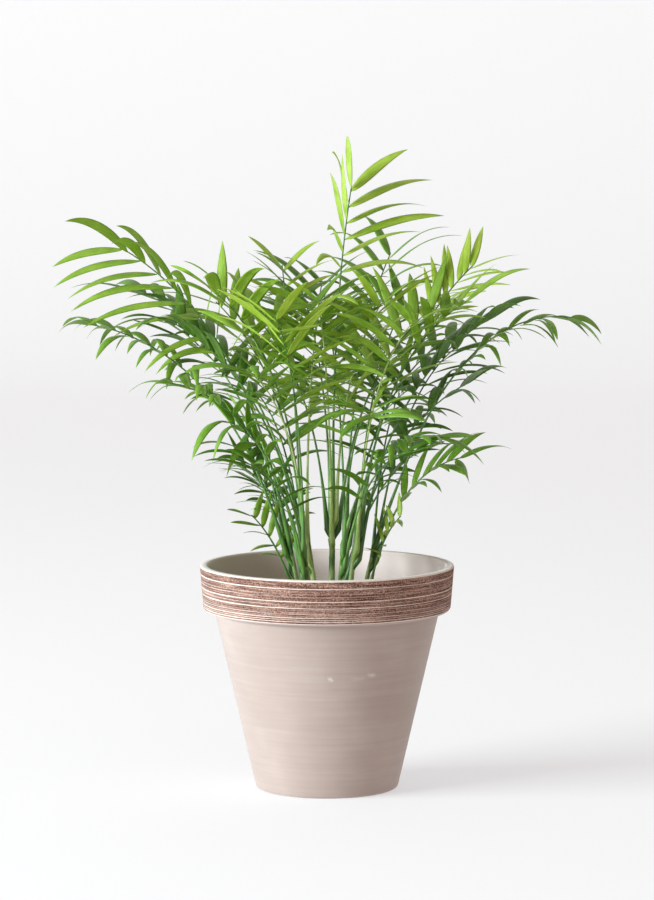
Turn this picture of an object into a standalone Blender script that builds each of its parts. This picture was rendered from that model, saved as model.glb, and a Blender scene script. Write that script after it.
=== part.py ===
"""A parlour palm in a clay pot: a clump of short canes, each with feathered fronds that arch out of it.

Metres, +Z up. The origin is the middle of the pot's flat underside. The plant is looked at along +Y.
Every frond is one thin solid: a tapering rib with its leaflets fused on, cut to the rib between them.
Leaflets grow by one seeded rule. One that would touch another frond, a cane or the pot is bent aside,
or left out where it finds no room, so each frond keeps to its own space.
"""

import math
import random
from collections import namedtuple

import bmesh
import bpy
import numpy as np
from mathutils.bvhtree import BVHTree

GAP = 0.0003  # between two solids that meet

# The pot, turned about Z
POT_HEIGHT = 0.212
RIM_RADIUS = 0.120
RIM_EDGE = 0.0014  # rounding at the mouth
BAND_HEIGHT = 0.043  # the thick collar round the mouth
BAND_FOOT_RADIUS = 0.1165
BAND_FOOT_EDGE = 0.0045
BODY_TOP_RADIUS = 0.1062
BASE_RADIUS = 0.067
BASE_EDGE = 0.0035
WALL = 0.0078
FLOOR = 0.011
FLOOR_ROUND = 0.004
NECK_BELOW = 0.010  # the inside widens into the collar from this far below its foot
NECK_ABOVE = 0.016
POT_STEPS = 44
WELD = 0.00001

# The soil, filled to a little under the mouth
SOIL_DROP = 0.040
SOIL_TOP = POT_HEIGHT - SOIL_DROP
SOIL_EDGE_DROP = 0.004
SOIL_EDGE_WIDTH = 0.025

CANE_STEPS = 4
CANE_SIDES = 8
CANE_NARROWING = 0.25  # of its radius, from the soil to the top
CANE_FLARE = 0.3  # of its radius, where it enters the soil
CANE_FLARE_END = 0.15  # how far up the flare reaches
CANE_FOOT_TRIM = 0.001  # what starts this low is set level with the soil

# A frond's rib: three-sided, as long as its stalk and blade together
RIB_STEPS = 24
RIB_FOOT_RADIUS = 0.0019
RIB_TIP_RADIUS = 0.0012
RIB_SECTIONS = (0, 6, 11, 14, 17, 19, 22, 24)
RIB_SWAYS = (0, 4, -4, 8, -8, 12, -12, 17, -17)  # degrees
RIB_DROPS = (0, 0.1, 0.2, 0.3)  # of the cane's height
RIB_ROOM = 0.5  # of its radius, kept free between a rib and its cane

# A leaflet: lance-shaped, with its root sunk in the rib
LEAF_STEPS = 12
LEAF_WIDEST = 0.38  # where along its length
LEAF_FULLNESS = 1.5
LEAF_ROOT = 0.11  # its width there, as a share of the widest
LEAF_THICKNESS = 0.013  # as a share of its length
LEAF_ROOT_THICKNESS = 0.0004
LEAF_SECTIONS = (0, 5, 12)
DROOPING = 0.8  # from here on a leaflet has one more section, as it bends more
DROOPING_SECTIONS = (0, 4, 8, 12)
LEAF_TIP_SPREAD = 0.6  # how far the last leaflets spread off the rib, as a share of the lowest
LEAF_FREE = 1  # the step past which a leaflet is clear of its own rib
LEAF_TRIES = 10
LAST_PAIR = 0.6  # of a pair's spacing, from the last pair to the blade's end
LAST_LEAF = 0.985  # how far along the blade the last leaflet can sit
HAND_STAGGER = 0.25  # of a pair's spacing, between its two leaflets
CLEARANCE = 0.0005
BLADE_SOLVER = "MANIFOLD"

# How leaflets differ: the length follows an arch along the blade, and the width grows towards its end
SHORTEST = 0.6
ARCH_START = 0.2
ARCH_SPAN = 0.65
FIRST_WIDTH = 0.85
WIDTH_GAIN = 0.35
DROOP_BEND = 1.4
SPREAD_VARIES = 9  # degrees either way
LIFT_VARIES = 12
TWIST_VARIES = 34
DROOP_VARIES = 0.38
LENGTH_VARIES = 0.13
LEVELLING = 0.65  # how far a leaflet's face turns to the sky, as a share of the whole way
LEVEL_AT = 0.4  # where along the leaflet that is judged
LEVEL_MOST = math.radians(100)
TRY_WIDER = 0.4  # each new try for room ranges this much wider, up to the widest, and is a little shorter
TRY_WIDEST = 3
TRY_SHORTER = 0.035

UP = np.array((0.0, 0.0, 1.0))

# Materials: name, colour, roughness
CLAY = ("clay", (0.50, 0.40, 0.35), 0.8)
SOIL = ("potting soil", (0.045, 0.028, 0.018), 0.95)
CANE = ("cane", (0.22, 0.30, 0.07), 0.5)
LEAF = ("leaf", (0.11, 0.26, 0.03), 0.45)

# A cane: its foot in millimetres, the way it leans and how far, and its size
Cane = namedtuple("Cane", "name x y azimuth lean height radius")
CANES = (
    Cane("left_outer", -24, 6, 180, 11, 0.058, 0.0034),
    Cane("left_inner", -9, -12, 190, 8, 0.072, 0.0038),
    Cane("centre", 4, -2, 0, 1, 0.095, 0.0044),
    Cane("right_inner", 20, -8, 10, 6, 0.080, 0.0038),
    Cane("right_outer", 32, 6, 0, 13, 0.055, 0.0035),
    Cane("back_left", -16, 24, 130, 9, 0.066, 0.0034),
    Cane("back_right", 13, 25, 60, 9, 0.070, 0.0036),
    Cane("front_left", -15, -28, 230, 9, 0.060, 0.0033),
    Cane("front_right", 10, -28, 300, 9, 0.062, 0.0034),
)

# A frond: its cane and how far up it is seated, the azimuth it arches to, its lean from upright at the foot
# and at the tip, its stalk and blade in millimetres, the pairs of leaflets, the length and width of the
# largest in millimetres, how far the blade is rolled about its rib, and how much the leaflets droop. The
# last four are how far the lowest leaflets spread off the rib, how far they lift above the blade's plane,
# how late along its length the frond bends over, and which draw its leaflets vary by
FROND_SIZES = "name cane seat azimuth foot tip stalk blade pairs leaf width roll droop spread lift bend draw"
Frond = namedtuple("Frond", FROND_SIZES, defaults=(66, 24, 1.7, 0))
FRONDS = (
    Frond("top", "centre", 1, 60, 0, 18, 220, 84, 6, 92, 11, 65, 0.8, 66, 34, 1.7, 1),
    Frond("left_tall", "left_outer", 1, 194, 12, 60, 188, 148, 8, 96, 8, -120, 1, 50, 30),
    Frond("left_long", "left_outer", 0.85, 190, 17, 80, 170, 134, 8, 64, 8, -10, 1.5),
    Frond("left_back", "back_left", 1, 160, 15, 74, 165, 130, 7, 84, 9, 0, 0.9, 50, 16),
    Frond("back_thin", "back_left", 0.9, 110, 8, 20, 180, 85, 6, 60, 6, 0, 0.6),
    Frond("right_tall", "right_inner", 1, 16, 12, 48, 200, 70, 8, 56, 7, 40, 0.4, 50, 10),
    Frond("right_long", "right_outer", 1, -5, 20, 100, 184, 128, 9, 50, 7, 10, 1.4, 44, 10, 2.8, 1),
    Frond("right_low", "right_outer", 0.8, -20, 18, 78, 62, 76, 6, 64, 9, 20, 0.7, 60, 16),
    Frond("right_droop", "front_right", 1, -38, 16, 100, 82, 92, 6, 60, 8, 0, 1.1, 60, 14),
    Frond("front_drop", "front_right", 0.9, -78, 12, 98, 112, 100, 7, 66, 8, 0, 0.8),
    Frond("right_small", "right_outer", 0.4, -12, 13, 45, 34, 45, 5, 34, 5, 40, 0.3),
    Frond("left_small", "left_outer", 0.3, 186, 20, 45, 30, 50, 5, 40, 6, -50, 0.4, 66, 24, 1.7, 1),
    Frond("left_low", "front_left", 1, 196, 14, 60, 92, 52, 4, 90, 10, -20, 1.6),
    Frond("left_wisp", "back_left", 0.5, 165, 15, 60, 60, 55, 5, 58, 5, -20, 0.5),
    Frond("front_centre", "left_inner", 1, -80, 2, 50, 120, 125, 9, 78, 8, 0, 0.6, 64, 20),
    Frond("front_right_tall", "right_inner", 0.7, -62, 6, 62, 135, 125, 7, 86, 9.5, 0, 0.7),
    Frond("back_right_tall", "back_right", 1, 62, 4, 46, 175, 105, 6, 90, 9.5, 0, 0.8),
    Frond("left_mid", "left_inner", 0.9, 222, 6, 56, 145, 125, 7, 88, 10, 0, 0.7),
    Frond("left_mid_low", "front_left", 0.8, 208, 14, 80, 118, 115, 7, 64, 8, 0, 1.3),
    Frond("right_mid", "right_inner", 0.9, -35, 8, 62, 135, 125, 7, 82, 9, 10, 0.7),
    Frond("back_mid", "back_left", 0.8, 98, 4, 50, 155, 125, 7, 85, 9.5, 0, 0.8),
    Frond("back_right_low", "back_right", 0.8, 40, 12, 72, 115, 125, 7, 78, 9, 0, 0.9),
    Frond("back_low", "back_left", 0.7, 112, 14, 78, 105, 115, 7, 75, 9, 0, 0.9, 66, 24, 1.7, 1),
    Frond("back_far", "back_right", 0.9, 100, 8, 66, 130, 125, 7, 80, 9, 0, 0.8),
    Frond("right_back", "right_outer", 0.9, 52, 14, 68, 120, 115, 7, 75, 9, 10, 0.8),
    Frond("left_far_back", "left_outer", 0.9, 150, 12, 66, 140, 120, 7, 78, 9, -10, 0.8),
    Frond("front_left_tall", "front_left", 1, -105, 4, 54, 130, 125, 8, 80, 9, 0, 0.6, 66, 24, 1.7, 1),
    Frond("front_left_mid", "left_inner", 0.7, 242, 10, 70, 110, 115, 7, 78, 9, 0, 0.9),
    Frond("centre_front", "centre", 0.9, -60, 5, 52, 105, 125, 8, 80, 9, 0, 0.6),
    Frond("centre_left", "centre", 0.8, 205, 6, 48, 105, 125, 7, 80, 9, -20, 0.7),
    Frond("centre_back", "centre", 0.9, 110, 5, 50, 105, 125, 7, 82, 9.5, 0, 0.7, 66, 24, 1.7, 1),
    Frond("centre_right", "centre", 0.8, 10, 7, 52, 105, 125, 7, 80, 9, 25, 0.6),
    Frond("right_inner_up", "right_inner", 0.8, 60, 6, 50, 125, 115, 7, 78, 9, 20, 0.6),
    Frond("left_inner_up", "left_inner", 0.8, 150, 6, 52, 135, 120, 7, 80, 9.5, -20, 0.6, 66, 24, 1.7, 1),
    Frond("front_low_left", "front_left", 0.7, -120, 16, 84, 70, 90, 6, 60, 8, 0, 1.0),
    Frond("front_low_right", "front_right", 0.7, -60, 16, 82, 70, 90, 6, 60, 8, 0, 0.9),
    Frond("back_small_right", "back_right", 0.5, 20, 18, 60, 60, 70, 5, 50, 7, 0, 0.6),
    Frond("back_small_left", "back_left", 0.3, 130, 20, 60, 60, 60, 5, 45, 7, 0, 0.6),
    Frond("left_outer_low", "left_outer", 0.6, 145, 14, 60, 60, 75, 6, 52, 8, -15, 1.1, 56, 14),
    Frond("right_outer_mid", "right_outer", 0.9, 62, 14, 66, 90, 95, 6, 65, 8, 20, 1.0, 66, 24, 1.7, 1),
    Frond("right_arch", "right_inner", 0.6, -22, 10, 60, 165, 100, 6, 80, 9, 0, 0.9),
    Frond("left_arch", "left_inner", 0.6, 176, 10, 60, 160, 105, 6, 80, 9, 0, 0.9),
    Frond("front_high", "centre", 0.7, -98, 5, 50, 145, 105, 6, 80, 9, 0, 0.8, 64, 20, 1.7, 1),
    Frond("right_spray", "back_right", 0.6, 14, 14, 62, 120, 100, 6, 74, 8, 0, 0.9),
)


def unit(v):
    return v / math.sqrt(v @ v)


def heading(azimuth, lean):
    """The direction that leans so far from upright towards an azimuth, both in degrees."""
    a, b = math.radians(azimuth), math.radians(lean)
    return np.array((math.sin(b) * math.cos(a), math.sin(b) * math.sin(a), math.cos(b)))


def turned(v, axis, angle):
    """A vector at right angles to the axis, turned about it by an angle in radians."""
    return v * math.cos(angle) + np.cross(axis, v) * math.sin(angle)


def cane_point(cane, share):
    """The point this share of the way up the cane's axis, which leans straight out of the soil."""
    foot = np.array((cane.x / 1000, cane.y / 1000, SOIL_TOP + GAP))
    return foot + heading(cane.azimuth, cane.lean) * cane.height * share


def cane_radius(cane, share):
    """The cane narrows upwards, and flares where it enters the soil."""
    flare = CANE_FLARE * max(0, 1 - share / CANE_FLARE_END) ** 2
    return cane.radius * (1 - CANE_NARROWING * share + flare)


def rib_path(frond, cane, share, sway):
    """The rib's points, with its forward, side and upper directions at each.

    It is seated this share of the way up its cane, and turned aside by sway, in degrees.
    """
    azimuth = frond.azimuth + sway
    out = heading(azimuth, 90)
    side = np.array((-out[1], out[0], 0.0))
    point = cane_point(cane, share)
    if share == 1:
        tilt = np.cross(heading(cane.azimuth, cane.lean), heading(azimuth, frond.foot))
        rise = RIB_FOOT_RADIUS * math.sqrt(tilt @ tilt)
        point = point + UP * (GAP + rise) / math.cos(math.radians(cane.lean))
    else:
        point = point + out * (cane_radius(cane, share) + GAP + RIB_FOOT_RADIUS)
    step = (frond.stalk + frond.blade) / 1000 / RIB_STEPS
    points, ways, sides, uppers = [], [], [], []
    for k in range(RIB_STEPS + 1):
        way = heading(azimuth, lean_at(frond, k / RIB_STEPS))
        leaf_side = turned(side, way, math.radians(frond.roll))
        points.append(point)
        ways.append(way)
        sides.append(leaf_side)
        uppers.append(np.cross(way, leaf_side))
        point = point + heading(azimuth, lean_at(frond, (k + 0.5) / RIB_STEPS)) * step
    return points, ways, sides, uppers


def lean_at(frond, share):
    return frond.foot + (frond.tip - frond.foot) * share**frond.bend


def rib_radius(share):
    return RIB_FOOT_RADIUS + (RIB_TIP_RADIUS - RIB_FOOT_RADIUS) * share


def leaf_width(share):
    """Width along a leaflet as a share of the widest: a lance shape with a narrow root and a pointed tip."""
    a, b = LEAF_WIDEST, 1 - LEAF_WIDEST
    lance = ((share / a) ** a * ((1 - share) / b) ** b) ** LEAF_FULLNESS
    return max(lance, LEAF_ROOT * (1 - share))


def levelling(way, direction, hand):
    """How far a leaflet rolls so that its upper face looks more to the sky, in radians."""
    face = np.cross(unit(way - direction * (way @ direction)) * hand, direction)
    sky = UP - direction * (UP @ direction)
    roll = math.atan2(np.cross(face, sky) @ direction, face @ sky) * LEVELLING * math.sqrt(sky @ sky)
    return min(max(roll, -LEVEL_MOST), LEVEL_MOST)


def leaf_path(frond, rib, share, hand, attempt):
    """One leaflet: its points, with its across and upper directions at each, its length and its width."""
    draw = random.Random(f"{frond.name} {frond.draw} {share:.3f} {hand} {attempt}")
    wide = min(1 + TRY_WIDER * attempt, TRY_WIDEST)

    def vary(amount):
        return draw.uniform(-amount, amount) * wide

    points, ways, sides, uppers = rib
    along = (frond.stalk + frond.blade * share) / (frond.stalk + frond.blade) * RIB_STEPS
    after = next(k for k in RIB_SECTIONS if k >= along)
    before = RIB_SECTIONS[RIB_SECTIONS.index(after) - 1]
    start = points[before] + (points[after] - points[before]) * (along - before) / (after - before)
    k = round(along)
    way, side, upper = ways[k], sides[k] * hand, uppers[k]
    angle = math.radians(frond.spread * (1 - (1 - LEAF_TIP_SPREAD) * share) + vary(SPREAD_VARIES))
    lift = math.radians(frond.lift + vary(LIFT_VARIES))
    first = way * math.cos(angle) + (side * math.cos(lift) + upper * math.sin(lift)) * math.sin(angle)
    droop = frond.droop * (1 + vary(DROOP_VARIES))
    twist = math.radians(vary(TWIST_VARIES))
    arch = math.sin(math.pi * (ARCH_START + ARCH_SPAN * share))
    length = frond.leaf / 1000 * (SHORTEST + (1 - SHORTEST) * arch)
    length = length * (1 + draw.uniform(-LENGTH_VARIES, LENGTH_VARIES)) * (1 - TRY_SHORTER * attempt)
    width = frond.width / 1000 * (FIRST_WIDTH + WIDTH_GAIN * share)
    leaf, acrosses, faces = [], [], []
    roll = levelling(way, unit(first - UP * droop * LEVEL_AT**DROOP_BEND), hand)
    across = way
    point = start
    for n in range(LEAF_STEPS + 1):
        u = n / LEAF_STEPS
        direction = unit(first - UP * droop * u**DROOP_BEND)
        across = unit(across - direction * (across @ direction))
        leaf.append(point)
        acrosses.append(turned(across, direction, roll + twist * u) * hand)
        faces.append(np.cross(acrosses[-1], direction))
        middle = u + 0.5 / LEAF_STEPS
        point = point + unit(first - UP * droop * middle**DROOP_BEND) * length / LEAF_STEPS
    sections = DROOPING_SECTIONS if frond.droop >= DROOPING else LEAF_SECTIONS
    return leaf, acrosses, faces, length, width, sections


def rib_rings(rib):
    """Triangles round the rib, one edge on top, so that each row of leaflets leaves through a flat face."""
    points, ways, sides, uppers = rib
    rings = []
    for k in RIB_SECTIONS:
        radius = rib_radius(k / RIB_STEPS)
        ring = []
        for corner in range(3):
            angle = math.radians(90 + 120 * corner)
            ring.append(points[k] + (sides[k] * math.cos(angle) + uppers[k] * math.sin(angle)) * radius)
        rings.append(ring)
    return rings


def leaf_rings(leaf, first, margin):
    """Flat triangles across a leaflet, with the keel underneath, from a step to the one before its tip."""
    points, acrosses, uppers, length, width, sections = leaf
    rings = []
    for n in sections[:-1]:
        n = max(n, first)
        u = n / LEAF_STEPS
        half = acrosses[n] * (width * leaf_width(u) / 2 + margin)
        depth = (LEAF_ROOT_THICKNESS if n == 0 else LEAF_THICKNESS * length * (1 - u * u)) + margin
        top = points[n] + uppers[n] * margin
        rings.append([top + half, points[n] - uppers[n] * depth, top - half])
    return rings, points[-1]


def two_triangles(vertices, quad):
    """Splits a side on the diagonal that stands out, so a twisted solid can't fold through itself."""
    p, q, r, s = (vertices[k] for k in quad)
    a, b, c, d = quad
    outward = (p + r - q - s) @ np.cross(r - p, s - q)
    return [(a, b, c), (a, c, d)] if outward > 0 else [(a, b, d), (b, c, d)]


def loft(rings, tip=None):
    """The vertices and faces of a closed solid through rings of corners, ending flat or in a point."""
    corners = len(rings[0])
    vertices = [corner for ring in rings for corner in ring]
    faces = [tuple(reversed(range(corners)))]
    for r in range(len(rings) - 1):
        a, b = r * corners, (r + 1) * corners
        for c in range(corners):
            d = (c + 1) % corners
            faces += two_triangles(vertices, (a + c, a + d, b + d, b + c))
    last = (len(rings) - 1) * corners
    if tip is None:
        faces.append(tuple(range(last, last + corners)))
    else:
        vertices.append(tip)
        for c in range(corners):
            faces.append((last + c, last + (c + 1) % corners, len(vertices) - 1))
    return vertices, faces


def cane_rings(cane, margin=0):
    """Circles up the cane, for keeping other pieces clear of it."""
    rings = []
    for k in range(CANE_STEPS + 1):
        point = cane_point(cane, k / CANE_STEPS)
        radius = cane_radius(cane, k / CANE_STEPS) + margin
        angles = [2 * math.pi * c / CANE_SIDES for c in range(CANE_SIDES)]
        rings.append([point + heading(math.degrees(a), 90) * radius for a in angles])
    return rings


def pot_rings():
    """Circles down the inside of the mouth and the outside of the pot."""
    outline = (
        (RIM_RADIUS - WALL, SOIL_TOP),
        (RIM_RADIUS - WALL, POT_HEIGHT),
        (RIM_RADIUS, POT_HEIGHT),
        (BAND_FOOT_RADIUS, POT_HEIGHT - BAND_HEIGHT),
        (BASE_RADIUS, 0),
    )
    angles = [360 * c / POT_STEPS for c in range(POT_STEPS)]
    return [[heading(a, 90) * radius + UP * z for a in angles] for radius, z in outline]


class Crowd:
    """What is already placed, so that a new piece can be kept clear of it."""

    def __init__(self):
        self.lows, self.highs, self.trees, self.owners = [], [], [], []

    def add(self, shape, owner):
        vertices, faces = shape
        corners = np.array(vertices)
        self.lows.append(corners.min(axis=0))
        self.highs.append(corners.max(axis=0))
        self.trees.append(BVHTree.FromPolygons([tuple(v) for v in vertices], faces))
        self.owners.append(owner)

    def touched(self, shape, own=None):
        """Whether a shape meets anything of another owner's."""
        if not self.trees:
            return False
        vertices, faces = shape
        corners = np.array(vertices)
        low, high = corners.min(axis=0), corners.max(axis=0)
        near = np.all((np.array(self.lows) <= high) & (np.array(self.highs) >= low), axis=1)
        near = [k for k in np.flatnonzero(near) if own is None or self.owners[k] != own]
        if not near:
            return False
        tree = BVHTree.FromPolygons([tuple(v) for v in vertices], faces)
        return any(tree.overlap(self.trees[k]) for k in near)


def place_rib(frond, cane, crowd):
    """The frond's rib, swayed aside or seated lower on its cane where it would touch another."""
    for drop in RIB_DROPS:
        for sway in RIB_SWAYS:
            rib = rib_path(frond, cane, frond.seat - drop, sway)
            rings = rib_rings(rib)
            wide = [[corner + (corner - sum(ring) / 3) * RIB_ROOM for corner in ring] for ring in rings]
            if not crowd.touched(loft(rings)) and not crowd.touched(loft(wide), cane.name):
                crowd.add(loft(rings), frond.name)
                return rib
    raise ValueError(frond.name + " finds no room")


def place_leaf(frond, rib, share, hand, crowd, inner):
    """A leaflet clear of the crowd and, past its root, of its own frond, or nothing."""
    for attempt in range(LEAF_TRIES):
        leaf = leaf_path(frond, rib, share, hand, attempt)
        if crowd.touched(loft(*leaf_rings(leaf, 0, CLEARANCE)), frond.name):
            continue
        if inner.touched(loft(*leaf_rings(leaf, LEAF_FREE, CLEARANCE))):
            continue
        crowd.add(loft(*leaf_rings(leaf, 0, 0)), frond.name)
        inner.add(loft(*leaf_rings(leaf, LEAF_FREE, 0)), frond.name)
        return leaf
    return None


def grow(fronds):
    """Every frond's rib, and then every leaflet that finds room, by the frond's name."""
    canes = {cane.name: cane for cane in CANES}
    crowd = Crowd()
    crowd.add(loft(pot_rings()), "pot")
    for cane in CANES:
        crowd.add(loft(cane_rings(cane)), cane.name)
    ribs = {frond.name: place_rib(frond, canes[frond.cane], crowd) for frond in fronds}
    leaves = {}
    for frond in fronds:
        rib = ribs[frond.name]
        inner = Crowd()
        inner.add(loft(rib_rings(rib)), frond.name)
        grown = []
        for pair in range(frond.pairs):
            for hand in (1, -1):
                share = min((pair + HAND_STAGGER * (hand > 0)) / (frond.pairs - LAST_PAIR), LAST_LEAF)
                grown.append(place_leaf(frond, rib, share, hand, crowd, inner))
        leaves[frond.name] = [leaf for leaf in grown if leaf]
    return ribs, leaves


def new_object(name, mesh, collection, material):
    made = bpy.data.objects.new(name, mesh)
    collection.objects.link(made)
    made.data.materials.append(material)
    return made


def new_material(name, colour, roughness):
    material = bpy.data.materials.new(name)
    material.use_nodes = True
    shader = material.node_tree.nodes["Principled BSDF"]
    shader.inputs["Base Color"].default_value = (*colour, 1)
    shader.inputs["Roughness"].default_value = roughness
    shader.inputs["Metallic"].default_value = 0
    return material


def mesh_from(name, vertices, faces):
    mesh = bpy.data.meshes.new(name)
    mesh.from_pydata([tuple(v) for v in vertices], [], faces)
    mesh.validate()
    return mesh


def rounded(before, corner, after, size, steps):
    """Points round a profile's corner, which starts and ends this far from it along its two sides."""
    before, corner, after = np.array(before), np.array(corner), np.array(after)
    start = corner + unit(before - corner) * size
    end = corner + unit(after - corner) * size
    shares = [k / steps for k in range(steps + 1)]
    return [tuple(start * (1 - t) ** 2 + corner * 2 * t * (1 - t) + end * t**2) for t in shares]


def turned_solid(name, profile, collection, material):
    """A closed profile, from the axis out and down its outer side, turned about Z."""
    mesh = mesh_from(name, [(r, 0, z) for r, z in profile], [])
    mesh.edges.add(len(profile) - 1)
    for k, edge in enumerate(mesh.edges):
        edge.vertices = (k, k + 1)
    made = new_object(name, mesh, collection, material)
    screw = made.modifiers.new("turn", "SCREW")
    screw.axis = "Z"
    screw.steps = POT_STEPS
    screw.render_steps = POT_STEPS
    screw.use_merge_vertices = True
    screw.merge_threshold = WELD
    screw.use_smooth_shade = True
    return made


def body_radius(height):
    """The pot's outer radius below its collar."""
    return BASE_RADIUS + (BODY_TOP_RADIUS - BASE_RADIUS) * height / (POT_HEIGHT - BAND_HEIGHT)


def inside_profile():
    """The pot's inside from the edge of its floor up to the mouth, a wall's thickness in from its outside."""
    floor, neck = FLOOR + FLOOR_ROUND, POT_HEIGHT - BAND_HEIGHT - NECK_BELOW
    mouth = POT_HEIGHT - BAND_HEIGHT + NECK_ABOVE
    return [
        (body_radius(floor) - WALL, floor),
        (body_radius(neck) - WALL, neck),
        (RIM_RADIUS - WALL, mouth),
    ]


def pot_profile():
    foot = POT_HEIGHT - BAND_HEIGHT
    inside = inside_profile()
    mouth = inside[-1][0]
    profile = [(0, FLOOR), (inside[0][0] - FLOOR_ROUND, FLOOR), *inside]
    profile += rounded(inside[-1], (mouth, POT_HEIGHT), (RIM_RADIUS, POT_HEIGHT), RIM_EDGE, 1)
    profile += rounded((mouth, POT_HEIGHT), (RIM_RADIUS, POT_HEIGHT), (BAND_FOOT_RADIUS, foot), RIM_EDGE, 1)
    band_foot = (BAND_FOOT_RADIUS, foot)
    profile += rounded((RIM_RADIUS, POT_HEIGHT), band_foot, (BODY_TOP_RADIUS, foot), BAND_FOOT_EDGE, 2)
    profile += [(BODY_TOP_RADIUS, foot)]
    profile += rounded((BODY_TOP_RADIUS, foot), (BASE_RADIUS, 0), (0, 0), BASE_EDGE, 2)
    return profile + [(0, 0)]


def soil_profile():
    """The soil fills the inside, a gap clear of the clay, and lies a little lower at its edge."""
    low, neck, mouth = inside_profile()
    edge = SOIL_TOP - SOIL_EDGE_DROP
    share = (edge - neck[1]) / (mouth[1] - neck[1])
    brim = neck[0] + (mouth[0] - neck[0]) * share - GAP
    profile = [(0, SOIL_TOP), (brim - SOIL_EDGE_WIDTH, SOIL_TOP), (brim, edge), (neck[0] - GAP, neck[1])]
    return profile + [(low[0] - GAP, low[1] + GAP), (0, low[1] + GAP)]


def build_cane(cane, collection, material):
    """A smooth tapering cane, cut flat where it meets the soil."""
    curve = bpy.data.curves.new(cane.name, "CURVE")
    curve.dimensions = "3D"
    curve.bevel_depth = 1
    curve.bevel_resolution = 2
    curve.use_fill_caps = True
    spline = curve.splines.new("POLY")
    spline.points.add(CANE_STEPS)
    for k in range(CANE_STEPS + 1):
        spline.points[k].co = (*cane_point(cane, k / CANE_STEPS), 1)
        spline.points[k].radius = cane_radius(cane, k / CANE_STEPS)
    guide = bpy.data.objects.new(cane.name, curve)
    collection.objects.link(guide)
    mesh = bpy.data.meshes.new_from_object(guide.evaluated_get(bpy.context.evaluated_depsgraph_get()))
    bpy.data.objects.remove(guide)
    bm = bmesh.new()
    bm.from_mesh(mesh)
    bmesh.ops.remove_doubles(bm, verts=bm.verts, dist=WELD)
    ground = SOIL_TOP + GAP
    for vertex in bm.verts:
        if vertex.co.z < ground + CANE_FOOT_TRIM:
            vertex.co.z = ground
    bm.to_mesh(mesh)
    bm.free()
    new_object("cane_" + cane.name, mesh, collection, material)


def build_frond(name, rings, leaves, collection, material):
    """The rib, with its leaflets joined on by one union."""
    rib = new_object("frond_" + name, mesh_from(name, *loft(rings)), collection, material)
    if not leaves:
        return
    blades = bpy.data.collections.new(name + " leaflets")
    bpy.context.scene.collection.children.link(blades)
    for leaf in leaves:
        new_object(name + " leaflet", mesh_from(name, *loft(*leaf_rings(leaf, 0, 0))), blades, material)
    union = rib.modifiers.new("leaflets", "BOOLEAN")
    union.operation = "UNION"
    union.operand_type = "COLLECTION"
    union.collection = blades
    union.solver = BLADE_SOLVER
    joined = bpy.data.meshes.new_from_object(rib.evaluated_get(bpy.context.evaluated_depsgraph_get()))
    rib.modifiers.remove(union)
    rib.data = joined
    for piece in list(blades.objects):
        bpy.data.objects.remove(piece)
    bpy.data.collections.remove(blades)


def main():
    for old in list(bpy.data.objects):
        bpy.data.objects.remove(old)
    plant = bpy.data.collections.new("parlour palm")
    bpy.context.scene.collection.children.link(plant)
    turned_solid("pot", pot_profile(), plant, new_material(*CLAY))
    turned_solid("soil", soil_profile(), plant, new_material(*SOIL))
    green = new_material(*CANE)
    for cane in CANES:
        build_cane(cane, plant, green)
    leaf = new_material(*LEAF)
    ribs, leaves = grow(FRONDS)
    for frond in FRONDS:
        build_frond(frond.name, rib_rings(ribs[frond.name]), leaves[frond.name], plant, leaf)


if __name__ == "__main__":
    main()
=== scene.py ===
"""The looks of a parlour palm in its clay pot.

Metres, +Z up, the origin in the middle of the pot's flat underside. The camera looks along +Y.
The fronds grow by the rule that made the solids, seeded alike, and are then carried to finer leaflets.
"""

import math
import random
from collections import namedtuple

import bmesh
import bpy
import numpy as np
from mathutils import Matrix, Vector
from mathutils.bvhtree import BVHTree


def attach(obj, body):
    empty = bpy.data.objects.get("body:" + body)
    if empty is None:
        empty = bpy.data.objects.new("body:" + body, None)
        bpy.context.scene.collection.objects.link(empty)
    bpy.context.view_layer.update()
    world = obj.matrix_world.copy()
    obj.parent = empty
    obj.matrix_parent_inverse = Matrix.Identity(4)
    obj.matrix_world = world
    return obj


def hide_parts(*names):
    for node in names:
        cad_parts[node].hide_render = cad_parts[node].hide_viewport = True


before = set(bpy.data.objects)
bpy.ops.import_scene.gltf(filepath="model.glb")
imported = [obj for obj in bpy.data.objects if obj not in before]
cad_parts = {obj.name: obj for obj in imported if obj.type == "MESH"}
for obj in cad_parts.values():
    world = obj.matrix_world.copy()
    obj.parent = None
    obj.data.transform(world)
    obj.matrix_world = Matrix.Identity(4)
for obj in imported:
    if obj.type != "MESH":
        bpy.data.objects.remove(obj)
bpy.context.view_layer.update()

GAP = 0.0003  # between two solids that meet

# The pot, turned about Z
POT_HEIGHT = 0.212
RIM_RADIUS = 0.120
RIM_EDGE = 0.0022  # rounding at the mouth
BAND_HEIGHT = 0.043  # the thick collar round the mouth
BAND_FOOT_RADIUS = 0.1165
BAND_FOOT_EDGE = 0.0045
BODY_TOP_RADIUS = 0.1062
BASE_RADIUS = 0.067
BASE_EDGE = 0.0035
WALL = 0.0078
FLOOR = 0.011
FLOOR_ROUND = 0.004
NECK_BELOW = 0.010  # the inside widens into the collar from this far below its foot
NECK_ABOVE = 0.016
BAND_FOOT = POT_HEIGHT - BAND_HEIGHT
POT_STEPS = 44
POT_TURNS = 320  # columns of the finished pot

# The soil
SOIL_DROP = 0.040
SOIL_TOP = POT_HEIGHT - SOIL_DROP

# Canes
CANE_STEPS = 4
CANE_SIDES = 8
CANE_NARROWING = 0.25  # of its radius, from the soil to the top
CANE_FLARE = 0.3  # of its radius, where it enters the soil
CANE_FLARE_END = 0.15  # how far up the flare reaches

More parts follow.
